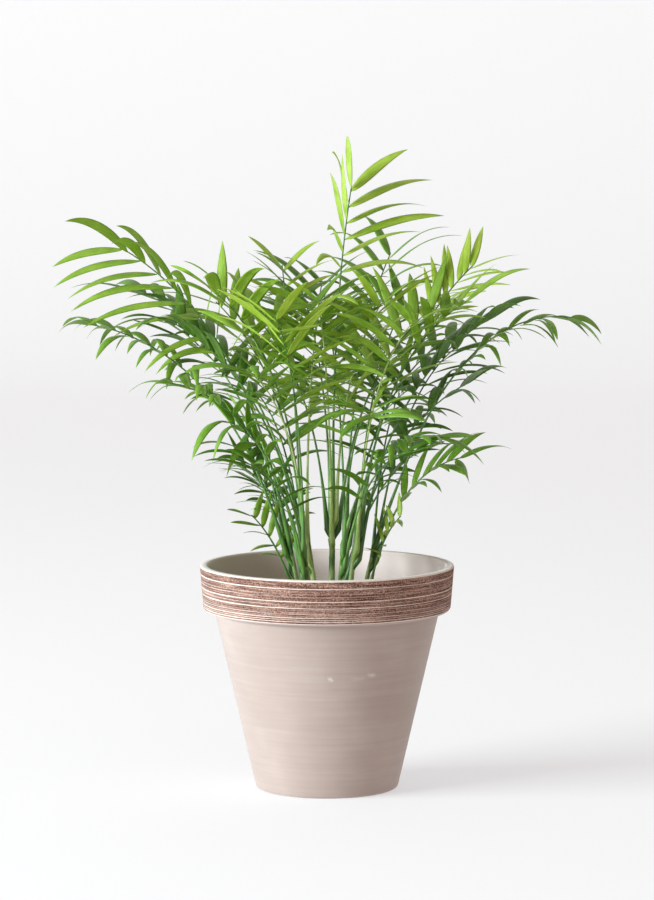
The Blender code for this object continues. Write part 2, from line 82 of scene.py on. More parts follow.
# A frond's rib
RIB_STEPS = 24
RIB_FOOT_RADIUS = 0.0019
RIB_TIP_RADIUS = 0.0012
RIB_SECTIONS = (0, 6, 11, 14, 17, 19, 22, 24)
RIB_SWAYS = (0, 4, -4, 8, -8, 12, -12, 17, -17)  # degrees
RIB_DROPS = (0, 0.1, 0.2, 0.3)  # of the cane's height
RIB_ROOM = 0.5  # of its radius, kept free between a rib and its cane

# A leaflet
LEAF_STEPS = 12
LEAF_WIDEST = 0.38  # where along its length
LEAF_FULLNESS = 1.5
LEAF_ROOT = 0.11  # its width there, as a share of the widest
LEAF_THICKNESS = 0.013  # as a share of its length
LEAF_ROOT_THICKNESS = 0.0004
LEAF_SECTIONS = (0, 5, 12)
DROOPING = 0.8  # from here on a leaflet has one more section, as it bends more
DROOPING_SECTIONS = (0, 4, 8, 12)
LEAF_TIP_SPREAD = 0.6  # how far the last leaflets spread off the rib, as a share of the lowest
LEAF_FREE = 1  # the step past which a leaflet is clear of its own rib
LEAF_TRIES = 10
LAST_PAIR = 0.6  # of a pair's spacing, from the last pair to the blade's end
LAST_LEAF = 0.985  # how far along the blade the last leaflet can sit
HAND_STAGGER = 0.25  # of a pair's spacing, between its two leaflets
CLEARANCE = 0.0005

# How leaflets differ
SHORTEST = 0.6
ARCH_START = 0.2
ARCH_SPAN = 0.65
FIRST_WIDTH = 0.85
WIDTH_GAIN = 0.35
DROOP_BEND = 1.4
SPREAD_VARIES = 9  # degrees either way
LIFT_VARIES = 12
TWIST_VARIES = 34
DROOP_VARIES = 0.38
LENGTH_VARIES = 0.13
LEVELLING = 0.65  # how far a leaflet's face turns to the sky, as a share of the whole way
LEVEL_AT = 0.4  # where along the leaflet that is judged
LEVEL_MOST = math.radians(100)
TRY_WIDER = 0.4  # each new try for room ranges this much wider, up to the widest, and is a little shorter
TRY_WIDEST = 3
TRY_SHORTER = 0.035

UP = np.array((0.0, 0.0, 1.0))

Cane = namedtuple("Cane", "name x y azimuth lean height radius")
CANES = (
    Cane("left_outer", -24, 6, 180, 11, 0.058, 0.0034),
    Cane("left_inner", -9, -12, 190, 8, 0.072, 0.0038),
    Cane("centre", 4, -2, 0, 1, 0.095, 0.0044),
    Cane("right_inner", 20, -8, 10, 6, 0.080, 0.0038),
    Cane("right_outer", 32, 6, 0, 13, 0.055, 0.0035),
    Cane("back_left", -16, 24, 130, 9, 0.066, 0.0034),
    Cane("back_right", 13, 25, 60, 9, 0.070, 0.0036),
    Cane("front_left", -15, -28, 230, 9, 0.060, 0.0033),
    Cane("front_right", 10, -28, 300, 9, 0.062, 0.0034),
)

# A frond: its cane and how far up it is seated, the azimuth it arches to, its lean from upright at the foot
# and at the tip, its stalk and blade in millimetres, the pairs of leaflets, the length and width of the
# largest in millimetres, how far the blade is rolled about its rib, and how much the leaflets droop. The
# last four are how far the lowest leaflets spread off the rib, how far they lift above the blade's plane,
# how late along its length the frond bends over, and which draw its leaflets vary by
FROND_SIZES = "name cane seat azimuth foot tip stalk blade pairs leaf width roll droop spread lift bend draw"
Frond = namedtuple("Frond", FROND_SIZES, defaults=(66, 24, 1.7, 0))
FRONDS = (
    Frond("top", "centre", 1, 60, 0, 18, 220, 84, 6, 92, 11, 65, 0.8, 66, 34, 1.7, 1),
    Frond("left_tall", "left_outer", 1, 194, 12, 60, 188, 148, 8, 96, 8, -120, 1, 50, 30),
    Frond("left_long", "left_outer", 0.85, 190, 17, 80, 170, 134, 8, 64, 8, -10, 1.5),
    Frond("left_back", "back_left", 1, 160, 15, 74, 165, 130, 7, 84, 9, 0, 0.9, 50, 16),
    Frond("back_thin", "back_left", 0.9, 110, 8, 20, 180, 85, 6, 60, 6, 0, 0.6),
    Frond("right_tall", "right_inner", 1, 16, 12, 48, 200, 70, 8, 56, 7, 40, 0.4, 50, 10),
    Frond("right_long", "right_outer", 1, -5, 20, 100, 184, 128, 9, 50, 7, 10, 1.4, 44, 10, 2.8, 1),
    Frond("right_low", "right_outer", 0.8, -20, 18, 78, 62, 76, 6, 64, 9, 20, 0.7, 60, 16),
    Frond("right_droop", "front_right", 1, -38, 16, 100, 82, 92, 6, 60, 8, 0, 1.1, 60, 14),
    Frond("front_drop", "front_right", 0.9, -78, 12, 98, 112, 100, 7, 66, 8, 0, 0.8),
    Frond("right_small", "right_outer", 0.4, -12, 13, 45, 34, 45, 5, 34, 5, 40, 0.3),
    Frond("left_small", "left_outer", 0.3, 186, 20, 45, 30, 50, 5, 40, 6, -50, 0.4, 66, 24, 1.7, 1),
    Frond("left_low", "front_left", 1, 196, 14, 60, 92, 52, 4, 90, 10, -20, 1.6),
    Frond("left_wisp", "back_left", 0.5, 165, 15, 60, 60, 55, 5, 58, 5, -20, 0.5),
    Frond("front_centre", "left_inner", 1, -80, 2, 50, 120, 125, 9, 78, 8, 0, 0.6, 64, 20),
    Frond("front_right_tall", "right_inner", 0.7, -62, 6, 62, 135, 125, 7, 86, 9.5, 0, 0.7),
    Frond("back_right_tall", "back_right", 1, 62, 4, 46, 175, 105, 6, 90, 9.5, 0, 0.8),
    Frond("left_mid", "left_inner", 0.9, 222, 6, 56, 145, 125, 7, 88, 10, 0, 0.7),
    Frond("left_mid_low", "front_left", 0.8, 208, 14, 80, 118, 115, 7, 64, 8, 0, 1.3),
    Frond("right_mid", "right_inner", 0.9, -35, 8, 62, 135, 125, 7, 82, 9, 10, 0.7),
    Frond("back_mid", "back_left", 0.8, 98, 4, 50, 155, 125, 7, 85, 9.5, 0, 0.8),
    Frond("back_right_low", "back_right", 0.8, 40, 12, 72, 115, 125, 7, 78, 9, 0, 0.9),
    Frond("back_low", "back_left", 0.7, 112, 14, 78, 105, 115, 7, 75, 9, 0, 0.9, 66, 24, 1.7, 1),
    Frond("back_far", "back_right", 0.9, 100, 8, 66, 130, 125, 7, 80, 9, 0, 0.8),
    Frond("right_back", "right_outer", 0.9, 52, 14, 68, 120, 115, 7, 75, 9, 10, 0.8),
    Frond("left_far_back", "left_outer", 0.9, 150, 12, 66, 140, 120, 7, 78, 9, -10, 0.8),
    Frond("front_left_tall", "front_left", 1, -105, 4, 54, 130, 125, 8, 80, 9, 0, 0.6, 66, 24, 1.7, 1),
    Frond("front_left_mid", "left_inner", 0.7, 242, 10, 70, 110, 115, 7, 78, 9, 0, 0.9),
    Frond("centre_front", "centre", 0.9, -60, 5, 52, 105, 125, 8, 80, 9, 0, 0.6),
    Frond("centre_left", "centre", 0.8, 205, 6, 48, 105, 125, 7, 80, 9, -20, 0.7),
    Frond("centre_back", "centre", 0.9, 110, 5, 50, 105, 125, 7, 82, 9.5, 0, 0.7, 66, 24, 1.7, 1),
    Frond("centre_right", "centre", 0.8, 10, 7, 52, 105, 125, 7, 80, 9, 25, 0.6),
    Frond("right_inner_up", "right_inner", 0.8, 60, 6, 50, 125, 115, 7, 78, 9, 20, 0.6),
    Frond("left_inner_up", "left_inner", 0.8, 150, 6, 52, 135, 120, 7, 80, 9.5, -20, 0.6, 66, 24, 1.7, 1),
    Frond("front_low_left", "front_left", 0.7, -120, 16, 84, 70, 90, 6, 60, 8, 0, 1.0),
    Frond("front_low_right", "front_right", 0.7, -60, 16, 82, 70, 90, 6, 60, 8, 0, 0.9),
    Frond("back_small_right", "back_right", 0.5, 20, 18, 60, 60, 70, 5, 50, 7, 0, 0.6),
    Frond("back_small_left", "back_left", 0.3, 130, 20, 60, 60, 60, 5, 45, 7, 0, 0.6),
    Frond("left_outer_low", "left_outer", 0.6, 145, 14, 60, 60, 75, 6, 52, 8, -15, 1.1, 56, 14),
    Frond("right_outer_mid", "right_outer", 0.9, 62, 14, 66, 90, 95, 6, 65, 8, 20, 1.0, 66, 24, 1.7, 1),
    Frond("right_arch", "right_inner", 0.6, -22, 10, 60, 165, 100, 6, 80, 9, 0, 0.9),
    Frond("left_arch", "left_inner", 0.6, 176, 10, 60, 160, 105, 6, 80, 9, 0, 0.9),
    Frond("front_high", "centre", 0.7, -98, 5, 50, 145, 105, 6, 80, 9, 0, 0.8, 64, 20, 1.7, 1),
    Frond("right_spray", "back_right", 0.6, 14, 14, 62, 120, 100, 6, 74, 8, 0, 0.9),
)

# The finished leaflets
FINE_STEPS = 20  # along a leaflet
FINE_ACROSS = (-1, -0.66, -0.33, 0, 0.33, 0.66, 1)
FINE_FOLD = 0.26  # how far the edges lie below the midrib, as a share of the half width
FINE_THICKNESS = 0.00028
FOLD_EASES = 0.4  # how much flatter a leaflet is at its tip, as a share
FOLD_POWER = 1.2
FINE_THINS = 0.5  # how much thinner it is there, as a share
PLACE_SCALE = 100  # its places are in centimetres
PLACE_MIDDLE = 50
STALK_SIDES = 8
STALK_SHARE = 0.68  # how thick a stalk is, as a share of the solid rib
STALK_NARROWING = 0.3
SHEATH = 0.8  # how much thicker a stalk's foot is, where it clasps the cane
SHEATH_END = 0.25
CLASP = 0.014  # how far below its foot a stalk grows out of its cane
CLASP_STEPS = 6
CLASP_START = 0.7
CLASP_LOWEST = 0.02  # as a share of the cane's height
SHEATH_POWER = 1.3
STALK_ROUGHNESS = 0.42
CANE_ROUGHNESS = 0.5
CANE_FINE_SIDES = 16
CANE_SLIM = 0.72  # the bare cane, as a share of the cane in its sheaths
CANE_LINE_STEPS = 60
NODE_SPACING = 0.013  # between the rings where old fronds have fallen
NODE_HALF = 0.0012
NODE_RISE = 0.09  # as a share of the cane's radius
SEAM = 0.00001  # corners this near become one

# Which fronds have which green: lighter on the top and front fronds, darker on the back and low ones, partly
# the paler green of young leaves and partly painted light and shade
TONES = {
    "young": ("top", "centre_front", "front_left_tall", "right_tall", "back_thin", "right_small"),
    "bright": ("left_tall", "front_centre", "front_right_tall", "left_mid", "right_mid", "left_small",
               "front_high", "centre_left", "left_inner_up", "centre_right"),
    "fresh": ("left_long", "right_long", "left_low", "front_drop", "right_droop", "left_mid_low",
              "right_inner_up", "centre_back", "right_low", "back_right_tall", "front_left_mid"),
    # the deep green is painted shade, for the back and low fronds that lie in the crown's shade
    "deep": ("left_back", "back_mid", "back_right_low", "back_far", "right_back", "left_far_back",
             "front_low_left", "front_low_right", "left_outer_low", "right_outer_mid", "back_low",
             "back_small_right", "back_small_left", "left_wisp", "left_arch", "right_arch",
             "right_spray"),
}
PALE_STALKS = ("front_centre", "centre_front", "front_right_tall", "front_left_mid", "front_high")


def unit(v):
    return v / math.sqrt(v @ v)


def heading(azimuth, lean):
    """The direction that leans so far from upright towards an azimuth, both in degrees."""
    a, b = math.radians(azimuth), math.radians(lean)
    return np.array((math.sin(b) * math.cos(a), math.sin(b) * math.sin(a), math.cos(b)))


def turned(v, axis, angle):
    """A vector at right angles to the axis, turned about it by an angle in radians."""
    return v * math.cos(angle) + np.cross(axis, v) * math.sin(angle)


def cane_point(cane, share):
    """The point this share of the way up the cane's axis, which leans straight out of the soil."""
    foot = np.array((cane.x / 1000, cane.y / 1000, SOIL_TOP + GAP))
    return foot + heading(cane.azimuth, cane.lean) * cane.height * share


def cane_radius(cane, share):
    """The cane narrows upwards, and flares where it enters the soil."""
    flare = CANE_FLARE * max(0, 1 - share / CANE_FLARE_END) ** 2
    return cane.radius * (1 - CANE_NARROWING * share + flare)


def rib_path(frond, cane, share, sway):
    """The rib's points, with its forward, side and upper directions at each.

    It is seated this share of the way up its cane, and turned aside by sway, in degrees.
    """
    azimuth = frond.azimuth + sway
    out = heading(azimuth, 90)
    side = np.array((-out[1], out[0], 0.0))
    point = cane_point(cane, share)
    if share == 1:
        tilt = np.cross(heading(cane.azimuth, cane.lean), heading(azimuth, frond.foot))
        rise = RIB_FOOT_RADIUS * math.sqrt(tilt @ tilt)
        point = point + UP * (GAP + rise) / math.cos(math.radians(cane.lean))
    else:
        point = point + out * (cane_radius(cane, share) + GAP + RIB_FOOT_RADIUS)
    step = (frond.stalk + frond.blade) / 1000 / RIB_STEPS
    points, ways, sides, uppers = [], [], [], []
    for k in range(RIB_STEPS + 1):
        way = heading(azimuth, lean_at(frond, k / RIB_STEPS))
        leaf_side = turned(side, way, math.radians(frond.roll))
        points.append(point)
        ways.append(way)
        sides.append(leaf_side)
        uppers.append(np.cross(way, leaf_side))
        point = point + heading(azimuth, lean_at(frond, (k + 0.5) / RIB_STEPS)) * step
    return points, ways, sides, uppers


def lean_at(frond, share):
    return frond.foot + (frond.tip - frond.foot) * share**frond.bend


def rib_radius(share):
    return RIB_FOOT_RADIUS + (RIB_TIP_RADIUS - RIB_FOOT_RADIUS) * share


def leaf_width(share):
    """Width along a leaflet as a share of the widest: a lance shape with a narrow root and a pointed tip."""
    a, b = LEAF_WIDEST, 1 - LEAF_WIDEST
    lance = ((share / a) ** a * ((1 - share) / b) ** b) ** LEAF_FULLNESS
    return max(lance, LEAF_ROOT * (1 - share))


def levelling(way, direction, hand):
    """How far a leaflet rolls so that its upper face looks more to the sky, in radians."""
    face = np.cross(unit(way - direction * (way @ direction)) * hand, direction)
    sky = UP - direction * (UP @ direction)
    roll = math.atan2(np.cross(face, sky) @ direction, face @ sky) * LEVELLING * math.sqrt(sky @ sky)
    return min(max(roll, -LEVEL_MOST), LEVEL_MOST)


def leaf_path(frond, rib, share, hand, attempt, steps=LEAF_STEPS):
    """One leaflet: its points, with its across and upper directions at each, its length and its width."""
    draw = random.Random(f"{frond.name} {frond.draw} {share:.3f} {hand} {attempt}")
    wide = min(1 + TRY_WIDER * attempt, TRY_WIDEST)

    def vary(amount):
        return draw.uniform(-amount, amount) * wide

    points, ways, sides, uppers = rib
    along = (frond.stalk + frond.blade * share) / (frond.stalk + frond.blade) * RIB_STEPS
    after = next(k for k in RIB_SECTIONS if k >= along)
    before = RIB_SECTIONS[RIB_SECTIONS.index(after) - 1]
    start = points[before] + (points[after] - points[before]) * (along - before) / (after - before)
    k = round(along)
    way, side, upper = ways[k], sides[k] * hand, uppers[k]
    angle = math.radians(frond.spread * (1 - (1 - LEAF_TIP_SPREAD) * share) + vary(SPREAD_VARIES))
    lift = math.radians(frond.lift + vary(LIFT_VARIES))
    first = way * math.cos(angle) + (side * math.cos(lift) + upper * math.sin(lift)) * math.sin(angle)
    droop = frond.droop * (1 + vary(DROOP_VARIES))
    twist = math.radians(vary(TWIST_VARIES))
    arch = math.sin(math.pi * (ARCH_START + ARCH_SPAN * share))
    length = frond.leaf / 1000 * (SHORTEST + (1 - SHORTEST) * arch)
    length = length * (1 + draw.uniform(-LENGTH_VARIES, LENGTH_VARIES)) * (1 - TRY_SHORTER * attempt)
    width = frond.width / 1000 * (FIRST_WIDTH + WIDTH_GAIN * share)
    leaf, acrosses, faces = [], [], []
    roll = levelling(way, unit(first - UP * droop * LEVEL_AT**DROOP_BEND), hand)
    across = way
    point = start
    for n in range(steps + 1):
        u = n / steps
        direction = unit(first - UP * droop * u**DROOP_BEND)
        across = unit(across - direction * (across @ direction))
        leaf.append(point)
        acrosses.append(turned(across, direction, roll + twist * u) * hand)
        faces.append(np.cross(acrosses[-1], direction))
        middle = u + 0.5 / steps
        point = point + unit(first - UP * droop * middle**DROOP_BEND) * length / steps
    sections = DROOPING_SECTIONS if frond.droop >= DROOPING else LEAF_SECTIONS
    return leaf, acrosses, faces, length, width, sections


def rib_rings(rib):
    """Triangles round the rib, one edge on top, so that each row of leaflets leaves through a flat face."""
    points, ways, sides, uppers = rib
    rings = []
    for k in RIB_SECTIONS:
        radius = rib_radius(k / RIB_STEPS)
        ring = []
        for corner in range(3):
            angle = math.radians(90 + 120 * corner)
            ring.append(points[k] + (sides[k] * math.cos(angle) + uppers[k] * math.sin(angle)) * radius)
        rings.append(ring)
    return rings


def leaf_rings(leaf, first, margin):
    """Flat triangles across a leaflet, with the keel underneath, from a step to the one before its tip."""
    points, acrosses, uppers, length, width, sections = leaf
    rings = []
    for n in sections[:-1]:
        n = max(n, first)
        u = n / LEAF_STEPS
        half = acrosses[n] * (width * leaf_width(u) / 2 + margin)
        depth = (LEAF_ROOT_THICKNESS if n == 0 else LEAF_THICKNESS * length * (1 - u * u)) + margin
        top = points[n] + uppers[n] * margin
        rings.append([top + half, points[n] - uppers[n] * depth, top - half])
    return rings, points[-1]


def two_triangles(vertices, quad):
    """Splits a side on the diagonal that stands out, so a twisted solid can't fold through itself."""
    p, q, r, s = (vertices[k] for k in quad)
    a, b, c, d = quad
    outward = (p + r - q - s) @ np.cross(r - p, s - q)
    return [(a, b, c), (a, c, d)] if outward > 0 else [(a, b, d), (b, c, d)]


def loft(rings, tip=None):
    """The vertices and faces of a closed solid through rings of corners, ending flat or in a point."""
    corners = len(rings[0])
    vertices = [corner for ring in rings for corner in ring]
    faces = [tuple(reversed(range(corners)))]
    for r in range(len(rings) - 1):
        a, b = r * corners, (r + 1) * corners
        for c in range(corners):
            d = (c + 1) % corners
            faces += two_triangles(vertices, (a + c, a + d, b + d, b + c))
    last = (len(rings) - 1) * corners
    if tip is None:
        faces.append(tuple(range(last, last + corners)))
    else:
        vertices.append(tip)
        for c in range(corners):
            faces.append((last + c, last + (c + 1) % corners, len(vertices) - 1))
    return vertices, faces


def cane_rings(cane, margin=0):
    """Circles up the cane, for keeping other pieces clear of it."""
    rings = []
    for k in range(CANE_STEPS + 1):
        point = cane_point(cane, k / CANE_STEPS)
        radius = cane_radius(cane, k / CANE_STEPS) + margin
        angles = [2 * math.pi * c / CANE_SIDES for c in range(CANE_SIDES)]
        rings.append([point + heading(math.degrees(a), 90) * radius for a in angles])
    return rings


def pot_rings():
    """Circles down the inside of the mouth and the outside of the pot."""
    outline = (
        (RIM_RADIUS - WALL, SOIL_TOP),
        (RIM_RADIUS - WALL, POT_HEIGHT),
        (RIM_RADIUS, POT_HEIGHT),
        (BAND_FOOT_RADIUS, POT_HEIGHT - BAND_HEIGHT),
        (BASE_RADIUS, 0),
    )
    angles = [360 * c / POT_STEPS for c in range(POT_STEPS)]
    return [[heading(a, 90) * radius + UP * z for a in angles] for radius, z in outline]


class Crowd:
    """What is already placed, so that a new piece can be kept clear of it."""

    def __init__(self):
        self.lows, self.highs, self.trees, self.owners = [], [], [], []

    def add(self, shape, owner):
        vertices, faces = shape
        corners = np.array(vertices)
        self.lows.append(corners.min(axis=0))
        self.highs.append(corners.max(axis=0))
        self.trees.append(BVHTree.FromPolygons([tuple(v) for v in vertices], faces))
        self.owners.append(owner)

    def touched(self, shape, own=None):
        """Whether a shape meets anything of another owner's."""
        if not self.trees:
            return False
        vertices, faces = shape
        corners = np.array(vertices)
        low, high = corners.min(axis=0), corners.max(axis=0)
        near = np.all((np.array(self.lows) <= high) & (np.array(self.highs) >= low), axis=1)
        near = [k for k in np.flatnonzero(near) if own is None or self.owners[k] != own]
        if not near:
            return False
        tree = BVHTree.FromPolygons([tuple(v) for v in vertices], faces)
        return any(tree.overlap(self.trees[k]) for k in near)


def place_rib(frond, cane, crowd):
    """The frond's rib, swayed aside or seated lower on its cane where it would touch another."""
    for drop in RIB_DROPS:
        for sway in RIB_SWAYS:
            rib = rib_path(frond, cane, frond.seat - drop, sway)
            rings = rib_rings(rib)
            wide = [[corner + (corner - sum(ring) / 3) * RIB_ROOM for corner in ring] for ring in rings]
            if not crowd.touched(loft(rings)) and not crowd.touched(loft(wide), cane.name):
                crowd.add(loft(rings), frond.name)
                return rib
    raise ValueError(frond.name + " finds no room")


def place_leaf(frond, rib, share, hand, crowd, inner):
    """Which try puts a leaflet clear of the crowd and, past its root, of its frond; the first if none."""
    for attempt in range(LEAF_TRIES):
        leaf = leaf_path(frond, rib, share, hand, attempt)
        if crowd.touched(loft(*leaf_rings(leaf, 0, CLEARANCE)), frond.name):
            continue
        if inner.touched(loft(*leaf_rings(leaf, LEAF_FREE, CLEARANCE))):
            continue
        crowd.add(loft(*leaf_rings(leaf, 0, 0)), frond.name)
        inner.add(loft(*leaf_rings(leaf, LEAF_FREE, 0)), frond.name)
        return attempt
    return 0


def grow(fronds):
    """Every frond's rib, and then every leaflet that finds room, by the frond's name."""
    canes = {cane.name: cane for cane in CANES}
    crowd = Crowd()
    crowd.add(loft(pot_rings()), "pot")
    for cane in CANES:
        crowd.add(loft(cane_rings(cane)), cane.name)
    ribs = {frond.name: place_rib(frond, canes[frond.cane], crowd) for frond in fronds}
    leaves = {}
    for frond in fronds:
        rib = ribs[frond.name]
        inner = Crowd()
        inner.add(loft(rib_rings(rib)), frond.name)
        grown = []
        for pair in range(frond.pairs):
            for hand in (1, -1):
                share = min((pair + HAND_STAGGER * (hand > 0)) / (frond.pairs - LAST_PAIR), LAST_LEAF)
                grown.append((frond, rib, share, hand, place_leaf(frond, rib, share, hand, crowd, inner)))
        leaves[frond.name] = grown
    return ribs, leaves


def linear(hex_colour):
    """An sRGB hex colour as linear red, green, blue and alpha."""
    shares = [int(hex_colour[k:k + 2], 16) / 255 for k in (1, 3, 5)]
    return (*[c / 12.92 if c <= 0.04045 else ((c + 0.055) / 1.055) ** 2.4 for c in shares], 1)


def add(tree, kind, inputs=None, stops=None, **settings):
    """One node with its settings, and its inputs by name or place, each a value or a socket to link from.

    A colour ramp's stops are shares with their hex colours.
    """
    node = tree.nodes.new(kind)
    for name, value in settings.items():
        setattr(node, name, value)
    for place, value in (inputs or {}).items():
        if isinstance(value, bpy.types.NodeSocket):
            tree.links.new(value, node.inputs[place])
        else:
            node.inputs[place].default_value = value
    for k, (share, colour) in enumerate(stops or []):
        element = node.color_ramp.elements[k] if k < 2 else node.color_ramp.elements.new(share)
        element.position = share
        element.color = linear(colour)
    return node


# The sockets of a Mix node: its share, then what it mixes, as numbers or as colours
SHARE, FROM_NUMBER, TO_NUMBER, FROM_COLOUR, TO_COLOUR = 0, 2, 3, 6, 7
MIXED_NUMBER, MIXED_COLOUR = 0, 2


def empty_material(name):
    material = bpy.data.materials.new(name)
    material.use_nodes = True
    material.node_tree.nodes.clear()
    return material, material.node_tree


def mottled_skin(tree, fine, cloud_scale, share, tones, bump, skin):
    """A skin whose tones follow a fine pattern, which it also raises, and clouds. Also gives its normal."""
    place = add(tree, "ShaderNodeTexCoord").outputs["Object"]
    grain = add(tree, "ShaderNodeTexNoise", {"Vector": place} | fine).outputs[0]
    cloud = add(tree, "ShaderNodeTexNoise", {"Vector": place, "Scale": cloud_scale, "Detail": 2}).outputs[0]
    level = add(tree, "ShaderNodeMix",
                {SHARE: share, FROM_NUMBER: grain, TO_NUMBER: cloud}).outputs[MIXED_NUMBER]
    colour = add(tree, "ShaderNodeValToRGB", {"Fac": level}, tones).outputs["Color"]
    normal = add(tree, "ShaderNodeBump", {"Height": grain} | bump).outputs[0]
    shader = add(tree, "ShaderNodeBsdfPrincipled", {"Base Color": colour, "Normal": normal} | skin)
    return shader.outputs[0], normal


def placed(name, data):
    """An object with this data, in the scene."""
    made = bpy.data.objects.new(name, data)
    bpy.context.scene.collection.objects.link(made)
    return made


def new_piece(name, vertices, faces, material):
    """A mesh object at the origin, with its place in its mesh."""
    mesh = bpy.data.meshes.new(name)
    mesh.from_pydata([tuple(v) for v in vertices], [], faces)
    mesh.update()
    mesh.polygons.foreach_set("use_smooth", [True] * len(mesh.polygons))
    mesh.materials.append(material)
    return placed(name, mesh)


# Unglazed earthenware, thrown and sponged: matt and pinkish grey, with faint rings from the wheel
CLAY_PALE = "#b6a59c"
CLAY_MID = "#ab988f"
CLAY_DEEP = "#a18e83"
SCUFF = "#f3ece6"
LIME_AND_PAINTED_LIGHT = "#f6e2da"  # lime that damp soil leaves on the inside, made paler than it is as painted light on the inside that the plant shades
RING_MM = 4.0  # between the throwing rings
RING_FLATNESS = 26  # how much further a ring runs round the pot than up it

# The collar's slip, brown with coarse grog in it
COAT_DARK = "#3c2016"
COAT_MID = "#6b463a"
COAT_PALE = "#bb9685"
COMBED = "#e8d4c8"  # the clay where the comb has bared it
GRIT_MM = 1.1  # the grog is finer; it is drawn this coarse so that it shows


def clay_material():
    material, tree = empty_material("unglazed earthenware, thrown, with a combed grog slip")
    place = add(tree, "ShaderNodeTexCoord").outputs["Object"]
    flat = add(tree, "ShaderNodeMapping", {"Vector": place, "Scale": (1, 1, RING_FLATNESS)}).outputs[0]
    patterns = []
    for where, scale, detail, rough in (
        (flat, 1000 / RING_MM / RING_FLATNESS, 4, 0.6),
        (place, 16, 3, 0.5),
        (place, 1400, 2, 0.5),
        (place, 1000 / GRIT_MM, 3, 0.75),
        (flat, 30, 3, 0.5),
    ):
        inputs = {"Vector": where, "Scale": scale, "Detail": detail, "Roughness": rough}
        patterns.append(add(tree, "ShaderNodeTexNoise", inputs).outputs[0])
    rings, cloud, fine, grit, streaks = patterns
    scuff, bloom, slip, combed = (add(tree, "ShaderNodeAttribute", attribute_name=name).outputs["Fac"]
                                  for name in ("scuff", "bloom", "slip", "combed"))

    # The bare clay, and the slip with its grog
    tone = add(tree, "ShaderNodeMix",
               {SHARE: 0.6, FROM_NUMBER: rings, TO_NUMBER: cloud}).outputs[MIXED_NUMBER]
    bare = add(tree, "ShaderNodeValToRGB", {"Fac": tone},
               [(0.25, CLAY_DEEP), (0.75, CLAY_PALE), (0.5, CLAY_MID)]).outputs["Color"]
    specks = add(tree, "ShaderNodeMapRange", {"Value": fine, "From Min": 0.42, "From Max": 0.56}).outputs[0]
    scuffed = add(tree, "ShaderNodeMath", {0: scuff, 1: specks}, operation="MULTIPLY").outputs[0]
    level = add(tree, "ShaderNodeMix",
                {SHARE: 0.3, FROM_NUMBER: grit, TO_NUMBER: streaks}).outputs[MIXED_NUMBER]
    coat = add(tree, "ShaderNodeValToRGB", {"Fac": level},
               [(0.4, COAT_DARK), (0.58, COAT_PALE), (0.49, COAT_MID)]).outputs["Color"]
    worn = add(tree, "ShaderNodeMath", {0: grit, 1: 1.5, 2: slip}, operation="MULTIPLY_ADD").outputs[0]
    coated = add(tree, "ShaderNodeMapRange", {"Value": worn, "From Min": 1.0, "From Max": 1.36}).outputs[0]

    # What lies over what, from the clay up
    colour = bare
    for share, over in ((scuffed, linear(SCUFF)), (bloom, linear(LIME_AND_PAINTED_LIGHT)), (combed, linear(COMBED)),
                        (coated, coat)):
        colour = add(tree, "ShaderNodeMix", {SHARE: share, FROM_COLOUR: colour, TO_COLOUR: over},
                     data_type="RGBA").outputs[MIXED_COLOUR]
    rough = add(tree, "ShaderNodeMath", {0: grit, 1: coated}, operation="MULTIPLY").outputs[0]
    grain = add(tree, "ShaderNodeMix",
                {SHARE: 0.15, FROM_NUMBER: rough, TO_NUMBER: tone}).outputs[MIXED_NUMBER]
    bump = add(tree, "ShaderNodeBump", {"Strength": 0.45, "Distance": 0.0007, "Height": grain}).outputs[0]
    dust = add(tree, "ShaderNodeMapRange", {"Value": coated, "To Min": 0.3, "To Max": 0.0}).outputs[0]
    shader = add(tree, "ShaderNodeBsdfPrincipled",
                 {"Base Color": colour, "Roughness": 0.9, "Specular IOR Level": 0.25, "Normal": bump,
                  "Sheen Weight": dust, "Sheen Roughness": 0.5})
    add(tree, "ShaderNodeOutputMaterial", {"Surface": shader.outputs[0]})
    return material


# Moist peat and bark: nearly black brown, with paler fibres
SOIL_TONES = [(0.35, "#17100c"), (0.66, "#5a4431"), (0.5, "#33241a")]


def soil_material():
    material, tree = empty_material("moist peat potting mix")
    skin, _ = mottled_skin(tree, {"Scale": 260, "Detail": 5, "Roughness": 0.7}, 40, 0.3, SOIL_TONES,
                           {"Strength": 0.8, "Distance": 0.0012}, {"Roughness": 0.93})
    add(tree, "ShaderNodeOutputMaterial", {"Surface": skin})
    return material


# Leaf tissue: a waxy skin with a satin gloss, fine parallel veins, and light coming through it. Each tone
# has its darker and lighter green and the green of the light that comes through
# The deep green is painted shade, for fronds in the crown's shade; the young green is partly painted light
# on the lit top and front
LEAF_GREENS = {
    "young": ("#8fb422", "#c4dc5c", "#dcec80"),
    "bright": ("#6e9a1e", "#a8ca4c", "#c8de64"),
    "fresh": ("#58881e", "#8fba42", "#b2d25c"),
    "deep": ("#3e6a12", "#6c982c", "#92ba44"),
}
VEIN_MM = 1.5  # between veins; the real ones lie closer and would not show


def leaf_material(tone):
    dark, light, glow = LEAF_GREENS[tone]
    material, tree = empty_material("palm leaflet, waxy, " + tone)
    blade = add(tree, "ShaderNodeUVMap", uv_map="blade").outputs[0]
    along = add(tree, "ShaderNodeMapping", {"Vector": blade, "Scale": (1.2, 10 / VEIN_MM, 1)}).outputs[0]
    veins = {"Vector": along, "Scale": 1, "Detail": 3, "Roughness": 0.6}
    skin, normal = mottled_skin(tree, veins, 30, 0.55, [(0.36, dark), (0.64, light)],
                                {"Strength": 0.35, "Distance": 0.0004},
                                {"Roughness": 0.38, "Specular IOR Level": 0.6})
    through = add(tree, "ShaderNodeBsdfTranslucent", {"Color": linear(glow), "Normal": normal})
    both = add(tree, "ShaderNodeMixShader", {0: 0.3, 1: skin, 2: through.outputs[0]})
    add(tree, "ShaderNodeOutputMaterial", {"Surface": both.outputs[0]})
    return material


